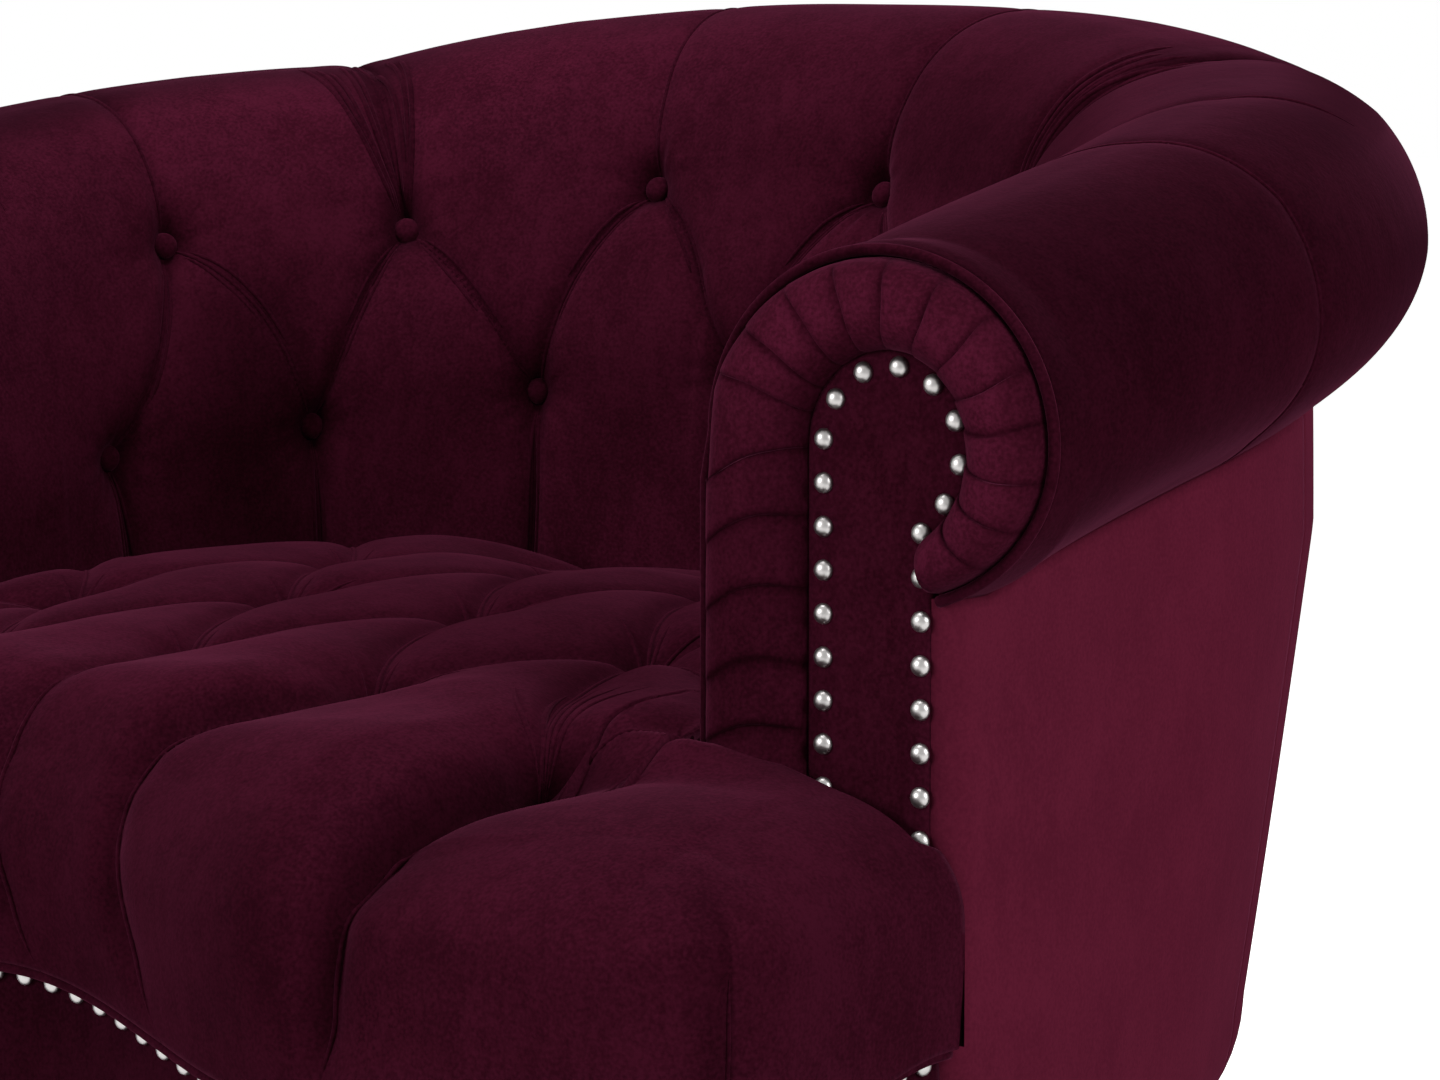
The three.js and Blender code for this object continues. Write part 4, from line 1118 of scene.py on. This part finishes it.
    # Skirt under the back edge and the flat underside
    rim_right = [start + level * count + count - 1 for level in range(len(levels))]
    rim_left = [start + level * count for level in range(len(levels))]
    loop = rim_left[::-1] + list(range(columns)) + rim_right
    low = len(points[0]) + len(points[1])
    skirt = np.vstack(points)[loop].copy()
    skirt[:, 2] = SEAT_JOINT + 1
    points.append(skirt)
    shades.append(np.ones(len(skirt)))
    for i in range(len(loop) - 1):
        faces.append([loop[i], loop[i + 1], low + i + 1, low + i])
    faces.append([low + i for i in range(len(loop))] + ring[::-1][1:-1])
    painted_shading = SEAT_PAINTED_SHADING * np.concatenate(shades)
    piece = make_mesh("seat_tufting", (np.vstack(points), faces), VELVET, ["seat_cushion"],
                      flat=1, painted_shading=painted_shading)
    darts = [strip[strip[:, i, 2] < CORNER_SEAM_TOP, i] for i in np.argsort(np.abs(dart_gap))[:2]]
    middle = slice(len(left), len(left) + len(front))
    return strip[:, middle], flats[:, middle], darts


FRONT_STRIP, FRONT_FLATS, DARTS = seat_cushion()


def smoothed(points):
    """A line with every point but its ends drawn towards its neighbours."""
    middle = (points[:-2] + 2 * points[1:-1] + points[2:]) / 4
    return np.vstack([points[:1], middle, points[-1:]])


def over_front(line):
    """Where a front seam runs on the cushion's edge strip, level by level."""
    points = []
    for row, flat in zip(FRONT_STRIP, FRONT_FLATS):
        away = flat[:, 0] - np.interp(-flat[:, 1], -line[:, 1], line[:, 0])
        i = int(np.argmax(away > 0)) - 1
        points.append(lerp(row[i], row[i + 1], away[i] / (away[i] - away[i + 1])))
    return smoothed(np.array(points))


def on_seat(path, lift=0.0):
    """A line of (x, y) laid on the tufted seat."""
    return np.column_stack([path, seat_top_height(*path.T) - seat_depth(*path.T) + lift])


def seat_folds():
    """The sewn edge beside each seat seam, from its tuft over the front."""
    folds = []
    for line, _, _ in seat_creases():
        path = resample(line, 4.0)
        path = path[path[:, 1] > front_line(path[:, 0]) + SEAT_CORNER]
        if len(path) < 6:
            continue
        points = on_seat(path)
        if line[-1][1] < -200:
            points = np.vstack([points[:-1], over_front(line)[3:]])
            for _ in range(3):
                points = smoothed(points)
        folds.append(tube(points, 1.5 * taper(len(points))))
    for line, depth, _ in seat_gathers():
        path = resample(line, 4.0)
        folds.append(tube(on_seat(path, -0.4), (1.0 + 0.25 * depth) * taper(len(path), 4, 2)))
    for dart in DARTS:
        folds.append(tube(dart[:-1], 1.3 * np.clip(np.linspace(0, 4, len(dart) - 1), 0.15, 1)))
    make_mesh("seat_seam_folds", merge(folds), VELVET, painted_shading=SEAT_PAINTED_SHADING)


seat_folds()

# Lines round the seat front
BORDER_RECESS = 9.0
SEAT_WELT_RADIUS = 3.2
WELT_INSET = 4.6
NAIL_RADIUS = 5.4
NAIL_HEIGHT = 4.2
NAIL_SPACING = 21.8
NAIL_EDGE = 8.0
BORDER_THICKNESS = 9.0


def front_outline(inset, side_end, step=4.0):
    """Front half outline for x >= 0 and its mirror, drawn in by inset, left to right."""
    xs = np.arange(0, CORNER_X, step)
    half = [(x, float(front_line(x)) + inset) for x in xs]
    radius = SEAT_CORNER - inset
    for a in np.linspace(0, math.pi / 2, 12):
        half.append((CORNER_X + radius * math.sin(a), CORNER_Y - radius * math.cos(a)))
    half.append((SEAT_HALF - inset, side_end))
    half = resample(half, step)
    return np.vstack([half[:0:-1] * (-1, 1), half])


def outward(line):
    """Outward normals of a left to right line round the front."""
    tangent = np.gradient(line, axis=0)
    tangent /= np.linalg.norm(tangent, axis=1, keepdims=True)
    return np.column_stack([tangent[:, 1], -tangent[:, 0]])


def seat_welt():
    line = front_outline(WELT_INSET, BORDER_END)
    path = np.column_stack([line, joint_height(*line.T) - SEAT_WELT_RADIUS + 1.0])
    make_mesh("seat_piping", tube(path, SEAT_WELT_RADIUS, 12), VELVET, ["seat_welt"], painted_shading=SEAT_PAINTED_SHADING)


def front_border():
    line = front_outline(BORDER_RECESS, BORDER_END)
    normal = outward(line)
    top = joint_height(*line.T) - 2 * SEAT_WELT_RADIUS + 1
    rows = []
    for share in np.linspace(0, 1, 26):
        puff = 2.5 * math.sin(math.pi * share) ** 0.6 - 1.5
        rows.append(np.column_stack([line + normal * puff, lerp(top, BODY_BOTTOM, share)]))
    inner = line - normal * BORDER_THICKNESS
    rows.append(np.column_stack([inner, np.full(len(line), BODY_BOTTOM)]))
    rows.append(np.column_stack([inner, top]))
    shape = closed_shell(np.array(rows).transpose(1, 0, 2))
    # painted shade: the border under the cushion's overhang takes the retuned velvet at half brightness
    make_mesh("border_upholstery", shape, VELVET_RECESS_PAINTED_SHADING, ["front_border"],
              flat=2, painted_shading=0.5)


def nails(name, places, directions, replaced, mirror=False):
    """Domed nail heads with a short rim, as one mesh."""
    profile = [(math.sin(a), math.cos(a)) for a in np.linspace(0, math.pi / 2, 7)] + [(0.97, -0.12)]
    points, faces = dome(profile, 20)
    points = points * (NAIL_RADIUS, NAIL_RADIUS, NAIL_HEIGHT)
    heads = [(facing(points, direction) + place, faces) for place, direction in zip(places, directions)]
    make_mesh(name, merge(heads), NICKEL, [replaced], mirror=mirror)


def border_nails():
    line = front_outline(BORDER_RECESS - 0.6, -NAIL_SPACING / 2)
    values = np.column_stack([line, outward(line)])
    at = spread_along(line, values, NAIL_SPACING, NAIL_RADIUS)
    z = joint_height(*at.T[:2]) - 2 * SEAT_WELT_RADIUS + 0.4
    directions = np.column_stack([at[:, 2:], np.zeros(len(at))])
    nails("border_nail_heads", np.column_stack([at[:, :2], z]), directions, "border_nails")


seat_welt()
front_border()
border_nails()

# Arm fronts
PANEL_HEAD_RADIUS = 48.0
PANEL_HEAD_OFFSET = 4.0
PANEL_HEAD_HEIGHT = 601.0
PANEL_LEFT = 44.0
PANEL_RIGHT = 29.0
PANEL_GROW = 0.8
NAILS_SHIFT = 3.2
PANEL_FRONT = 2.0
ARM_WELT_RADIUS = 3.0
ARM_WELT_INSET = 1.0
OUTLINE_END = 35.0
ARM_FRONT_BOTTOM = 312.0
SHOULDER = 25.0
BAND_PUFF = 19.0
BAND_BACK = 9.0
BAND_HEAD_PLEATS = 13
BAND_SIDE_PITCH = 30.0


def arm_outline(inset, step=2.0):
    """Outer line of the arm front as (u, z), from the bottom inside over the head to the tip."""
    centre = ARM_TOP - ROLL_ABOVE
    end = -math.acos(OUTLINE_END / (ROLL_HALF - inset))
    turn = np.linspace(math.pi, end, 90)
    rise = np.where(turn < 0, ROLL_BELOW, ROLL_ABOVE) - inset
    head = np.column_stack([(ROLL_HALF - inset) * np.cos(turn), centre + rise * np.sin(turn)])
    start = [(-BAND_REACH + inset, ARM_FRONT_BOTTOM), (-BAND_REACH + inset, centre - SHOULDER)]
    return resample(np.vstack([start, head]), step)


def band_edges(k):
    """Outer and inner line of the band at k: 0..1 up the side, 1..2 round the head."""
    inset = 2 * ARM_WELT_RADIUS - 1
    centre = ARM_TOP - ROLL_ABOVE
    side = clip01(k)
    head = clip01(k - 1)
    end_out = -math.acos(OUTLINE_END / (ROLL_HALF - inset))
    turn = lerp(math.pi, end_out, head)
    rise = np.where(turn < 0, ROLL_BELOW, ROLL_ABOVE) - inset
    low_z = lerp(ARM_FRONT_BOTTOM, centre - SHOULDER, side)
    shoulder = ease((k - 0.9) / 0.25)
    out_x = np.where(k < 1, -BAND_REACH + inset, (ROLL_HALF - inset) * np.cos(turn))
    out_x = lerp(-BAND_REACH + inset, out_x, np.where(k < 1, 0, shoulder))
    out_z = np.where(k < 1, low_z, centre + rise * np.sin(turn))
    out_z = np.where(k < 1, low_z, lerp(centre - SHOULDER, out_z, ease((k - 1) / 0.06)))
    right = PANEL_RIGHT - PANEL_HEAD_OFFSET
    end_in = -math.acos(right / PANEL_HEAD_RADIUS)
    turn_in = lerp(math.pi, end_in, head)
    in_x = np.where(k < 1, -PANEL_LEFT, PANEL_HEAD_OFFSET + PANEL_HEAD_RADIUS * np.cos(turn_in))
    in_z = np.where(k < 1, lerp(ARM_FRONT_BOTTOM, PANEL_HEAD_HEIGHT, side),
                    PANEL_HEAD_HEIGHT + PANEL_HEAD_RADIUS * np.sin(turn_in))
    return np.stack([out_x, out_z], -1), np.stack([in_x, in_z], -1)


def band_profile(b):
    """Puff of the band towards the front: 0 at the welt, full in the middle, tucked in at the panel."""
    full = np.sqrt(np.maximum(0, 1 - np.abs(2 * b - 1) ** 2.4))
    return full * BAND_PUFF + 4 * (1 - b) - 2 * b


# Places down one tuck of the band, closer together at its two edges
TUCK_SHARES = (0.0, 0.025, 0.07, 0.15, 0.28, 0.43, 0.58, 0.73, 0.86, 0.95, 0.995)


def arm_band(side, mirror):
    """Band of overlapping tucks: each one rises from under the one before it."""
    side_count = int((ARM_TOP - ROLL_ABOVE - SHOULDER - ARM_FRONT_BOTTOM) / BAND_SIDE_PITCH)
    head_knots = 1 + np.linspace(0, 1, BAND_HEAD_PLEATS + 1)
    knots = np.r_[np.linspace(0, 1, side_count, endpoint=False), head_knots]
    random = np.random.default_rng(3)
    knots[1:-1] += random.uniform(-0.08, 0.08, len(knots) - 2) * np.diff(knots)[:-1]
    b = np.linspace(0, 1, 26)
    rows, shades = [], []
    for start, end in zip(knots[:-1], knots[1:]):
        near_ends = np.clip(knots[-1] - start, 0, 0.3) / 0.3 * min(1, start * 6)
        sway = 0.42 * (end - start) * (np.sin(math.pi * (b - 0.15)) * 0.55 + 0.5 * (1 - b) - 0.25) * near_ends
        for share in TUCK_SHARES:
            k = np.clip(start + share * (end - start) + sway, 0, 2)
            outer, inner = band_edges(k)
            line = outer + (inner - outer) * b[:, None]
            lift = 4.4 * (1 - share) ** 1.6 * min(1, 0.2 + share * 20)
            lift += 2.6 * math.sin(math.pi * share) ** 0.8
            lift *= lerp(0.6, 1.0, ease((start - 0.8) / 0.3))
            tuck = lift * (0.45 + 0.55 * b) * np.sin(math.pi * np.clip(b * 1.15, 0.04, 0.97)) ** 0.35
            rows.append(np.column_stack([HALF_SPAN + line[:, 0], 2 - band_profile(b) - tuck, line[:, 1]]))
            # painted highlight along the middle of the tucks round the head, painted shade at each tuck's
            # edges
            lit = 1.35 + 1.2 * np.sin(math.pi * b) ** 1.5 * ease((k - 0.85) / 0.4)
            painted_tuck_shade = lerp(0.5, 1.0, min(1, share * 9) * min(1, (1 - share) * 6))
            shades.append(np.tile(lit * painted_tuck_shade, 2))
    front = np.array(rows)
    back = front[:, ::-1].copy()
    back[..., 1] = BAND_BACK
    piece = make_mesh(f"{side}_pleated_band", closed_shell(np.concatenate([front, back], axis=1)), VELVET,
                      [f"{side}_arm_band"], painted_shading=np.concatenate(shades), mirror=mirror)


def arm_welt(side, mirror):
    line = arm_outline(ARM_WELT_INSET)
    path = np.column_stack([HALF_SPAN + line[:, 0], np.full(len(line), -1.8), line[:, 1]])
    make_mesh(f"{side}_arm_piping", tube(path, ARM_WELT_RADIUS, 12), VELVET,
              [f"{side}_arm_welt"], mirror=mirror)


def panel_outline(grow, step=3.0):
    """Keyhole line from the bottom inside over the head down to the bottom outside, as (u, z)."""
    radius = PANEL_HEAD_RADIUS + grow
    end = -math.acos((PANEL_RIGHT + grow - PANEL_HEAD_OFFSET) / radius)
    turn = np.linspace(math.pi, end, 60)
    head = np.column_stack([radius * np.cos(turn), radius * np.sin(turn)])
    feet = [(-PANEL_LEFT - grow, ARM_FRONT_BOTTOM)], [(PANEL_RIGHT + grow, ARM_FRONT_BOTTOM)]
    return resample(np.vstack([feet[0], head + (PANEL_HEAD_OFFSET, PANEL_HEAD_HEIGHT), feet[1]]), step)


# The panel's rings: share of the way in from its edge, and how far behind the arm front
PANEL_RINGS = (
    (0, 9), (0, 2), (0.01, 0.4), (0.04, -0.8), (0.1, -1.5),
    (0.25, -1.9), (0.5, -2), (0.75, -2), (1, -2),
)


def arm_panel(side, mirror):
    """Flat upholstered panel: rings drawn in from its rounded edge to the middle line."""
    outer = panel_outline(PANEL_GROW)
    count = len(outer)
    middle = np.full(count, (PANEL_RIGHT - PANEL_LEFT) / 2)
    middle = np.column_stack([middle, np.minimum(outer[:, 1], PANEL_HEAD_HEIGHT)])
    rings = []
    for share, depth in PANEL_RINGS:
        line = lerp(outer, middle, share)
        rings.append(np.column_stack([HALF_SPAN + line[:, 0], np.full(count, depth), line[:, 1]]))
    starts = [row * count for row in range(len(rings))]
    faces = grid_faces(len(rings), count)[:, ::-1].tolist()
    faces.append(starts + [first + count - 1 for first in starts[::-1]])
    faces.append(list(range(count)))
    # painted shading: the panel takes the retuned copy of the velvet
    make_mesh(f"{side}_keyhole_panel", (np.vstack(rings), faces), VELVET_RECESS_PAINTED_SHADING,
              [f"{side}_arm_panel"], mirror=mirror)


def arm_nails(side, mirror):
    line = panel_outline(PANEL_GROW - NAIL_EDGE, 1.0)
    line = line[line[:, 1] >= ARM_FRONT_BOTTOM + NAIL_EDGE]
    u, z = spread_along(line, line, NAIL_SPACING).T
    places = np.column_stack([HALF_SPAN + NAILS_SHIFT + u, np.full(len(u), -PANEL_FRONT), z])
    nails(f"{side}_arm_nail_heads", places, [(0, -1, 0)] * len(u), f"{side}_arm_nails", mirror)


for side, mirror in (("right", False), ("left", True)):
    arm_band(side, mirror)
    arm_welt(side, mirror)
    arm_panel(side, mirror)
    arm_nails(side, mirror)

# Outer covers
COVER_OUTER = 46.0
COVER_THICKNESS = 11.0
COVER_GAP = 0.4
COVER_TOP_DROP = 172.0
COVER_RAKE = 37.0
RAKE_START = 60.0
RAKE_LENGTH = 330.0
KNEE_HEIGHT = 250.0
KNEE_RADIUS = 85.0
CORNER_ROUND = 15.0
RETURN_INNER = 28.0


def cover_offset(y, z):
    back = ease((y - RAKE_START) / RAKE_LENGTH)
    span = ARM_TOP - COVER_TOP_DROP - KNEE_HEIGHT
    lean = COVER_RAKE * back * clip01((ARM_TOP - COVER_TOP_DROP - z) / span)
    below = np.clip(KNEE_HEIGHT - z, 0, KNEE_RADIUS)
    return COVER_OUTER - lean - (KNEE_RADIUS - np.sqrt(KNEE_RADIUS ** 2 - below ** 2)) * back


def cover_rows(s_values, rows=56):
    """Outside of the cover, from its top joint to its bottom, for each place along the tub."""
    x, y, nx, ny = plan(s_values)
    top = top_height(y) - COVER_TOP_DROP
    grid = []
    for share in np.linspace(0, 1, rows):
        z = lerp(top, BODY_BOTTOM, share)
        puff = 2.2 * math.sin(math.pi * share) ** 0.5 + 0.5 * wobble(s_values, z, 21, 70)
        u = cover_offset(y, z) + puff - 1.5
        grid.append(np.stack([x + u * nx, y + u * ny, z], axis=-1))
    return np.array(grid)


def cover(name, outside, thickness, replaced, mirror=False):
    """A cover of even thickness behind its outside."""
    along = np.gradient(outside, axis=1)
    normal = np.stack([-along[..., 1], along[..., 0]], axis=-1)
    normal /= np.maximum(np.linalg.norm(normal, axis=-1, keepdims=True), 1e-9)
    inside = outside.copy()
    inside[..., :2] += normal * thickness
    shape = closed_shell(np.concatenate([outside, inside[::-1]], axis=0).transpose(1, 0, 2))
    # painted light: the covers take the brighter copy of the velvet
    make_mesh(name, shape, VELVET_COVER_PAINTED_LIGHT, [replaced], flat=2, painted_shading=0.84, mirror=mirror)


def side_cover(side, mirror):
    """Side panel with a rounded front corner that turns in beside the nailed panel."""
    outside = cover_rows(np.linspace(HALF_LENGTH - CORNER_ROUND, PLEATS[2] + COVER_GAP, 60))
    reach = COVER_OUTER - CORNER_ROUND
    corner = []
    for x, _, z in outside[:, 0]:
        puff = x - HALF_SPAN - COVER_OUTER
        line = [(HALF_SPAN + RETURN_INNER, y, z) for y in (9.0, 1.0)]
        for a in np.linspace(math.pi / 2, 0, 9)[:-1]:
            across = HALF_SPAN + reach + (CORNER_ROUND + puff) * math.cos(a)
            line.append((across, CORNER_ROUND * (1 - math.sin(a)), z))
        corner.append(line)
    outside = np.concatenate([corner, outside], axis=1)
    cover(f"{side}_side_upholstery", outside, COVER_THICKNESS * 0.5, f"{side}_side_cover", mirror)


side_cover("right", False)
side_cover("left", True)
back = cover_rows(np.linspace(PLEATS[2] - COVER_GAP, COVER_GAP - PLEATS[2], 150))
cover("back_upholstery", back, COVER_THICKNESS, "back_cover")

# The front feet's turning, as shares of their radius and height from the floor up
FOOT_SHARES = [
    (0.46, 0.0), (0.55, 0.02), (0.56, 0.05), (0.5, 0.09), (0.55, 0.2), (0.64, 0.34), (0.76, 0.46),
    (0.88, 0.57), (0.97, 0.65), (0.98, 0.7), (0.9, 0.745), (0.74, 0.775), (0.7, 0.79), (0.82, 0.81),
    (0.9, 0.84), (0.88, 0.865), (0.78, 0.885), (0.78, 0.9), (0.94, 0.925), (1.0, 0.95), (1.0, 1.0),
]


def turned_foot(side):
    low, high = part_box(f"{side}_front_foot")
    centre = (low + high) / 2
    radius, height = (high[0] - low[0]) / 2, high[2] - low[2]
    rings = lathe_rings(FOOT_SHARES, 48) * (radius, radius, height) + (centre[0], centre[1] + FRAME_SHIFT, 0)
    make_mesh(f"{side}_turned_foot", closed_shell(rings / MM), DARK_WOOD,
              [f"{side}_front_foot"], flat=2)


turned_foot("left")
turned_foot("right")

# Camera, fitted to the photograph
CAMERA_PLACE = (1802.9, -1935.4, 794.2)
CAMERA_AZIMUTH = math.radians(36.6)
CAMERA_PITCH = math.radians(5.8)
FOCAL_PIXELS = 4785.5
PHOTO_WIDTH = 1440

camera = add_object("photo_camera", bpy.data.cameras.new("photo_camera"))
camera.data.sensor_width = 36.0
camera.data.lens = FOCAL_PIXELS / PHOTO_WIDTH * camera.data.sensor_width
camera.data.clip_end = 60.0
camera.location = to_frame(np.array(CAMERA_PLACE)).tolist()
camera.rotation_euler = (math.pi / 2 - CAMERA_PITCH, 0, CAMERA_AZIMUTH)
bpy.context.scene.camera = camera


# Floor, background and lights
def lit_where_seen(tree, output, unseen, seen):
    """Shows one shader to the camera, to rays off metal and through glass, and another to the rest."""
    rays = add_node(tree, "LightPath").outputs
    share = rays["Is Camera Ray"]
    for kind in ("Is Glossy Ray", "Is Transmission Ray"):
        share = add_node(tree, "Math", (), {0: share, 1: rays[kind]}, "MAXIMUM").outputs[0]
    joins = {"Fac": share, 1: unseen.outputs[0], 2: seen.outputs[0]}
    mix = add_node(tree, "MixShader", (), joins)
    tree.links.new(mix.outputs[0], tree.nodes[output].inputs["Surface"])


def floor():
    size = 30.0
    mesh = bpy.data.meshes.new("floor")
    corners = [(-size, -size, 0), (size, -size, 0), (size, size, 0), (-size, size, 0)]
    mesh.from_pydata(corners, [], [(0, 1, 2, 3)])
    material, tree, shader = principled("pale_floor", (0.80, 0.80, 0.80), 0.9)
    glow = add_node(tree, "Emission", {"Strength": 0.85})
    both = add_node(tree, "AddShader", (), {0: shader.outputs[0], 1: glow.outputs[0]})
    lit_where_seen(tree, "Material Output", shader, both)
    mesh.materials.append(material)
    add_object("floor", mesh)


def background():
    world = bpy.data.worlds.new("studio")
    bpy.context.scene.world = world
    world.use_nodes = True
    tree = world.node_tree
    values = {"Color": (1, 1, 1, 1), "Strength": 0.12}
    soft = fill_sockets(tree, tree.nodes["Background"], values)
    paper = add_node(tree, "Background", {"Color": (1, 1, 1, 1)})
    lit_where_seen(tree, "World Output", soft, paper)


def softbox(name, place, target, size, power):
    light = bpy.data.lights.new(name, "AREA")
    light.shape = "RECTANGLE"
    light.size, light.size_y = size
    light.energy = power
    holder = add_object(name, light)
    holder.location = place
    aim = Vector(target) - Vector(place)
    holder.rotation_euler = aim.to_track_quat("-Z", "Y").to_euler()


floor()
background()
softbox("top_box", (-0.3, -0.2, 3.0), (0, 0, 0.4), (1.6, 1.6), 80)
softbox("right_box", (3.2, -0.6, 1.7), (0, 0, 0.5), (1.2, 1.6), 82)
softbox("front_box", (-1.4, -3.2, 1.6), (0, 0, 0.5), (1.4, 1.4), 80)

bpy.context.scene.view_settings.view_transform = "Standard"
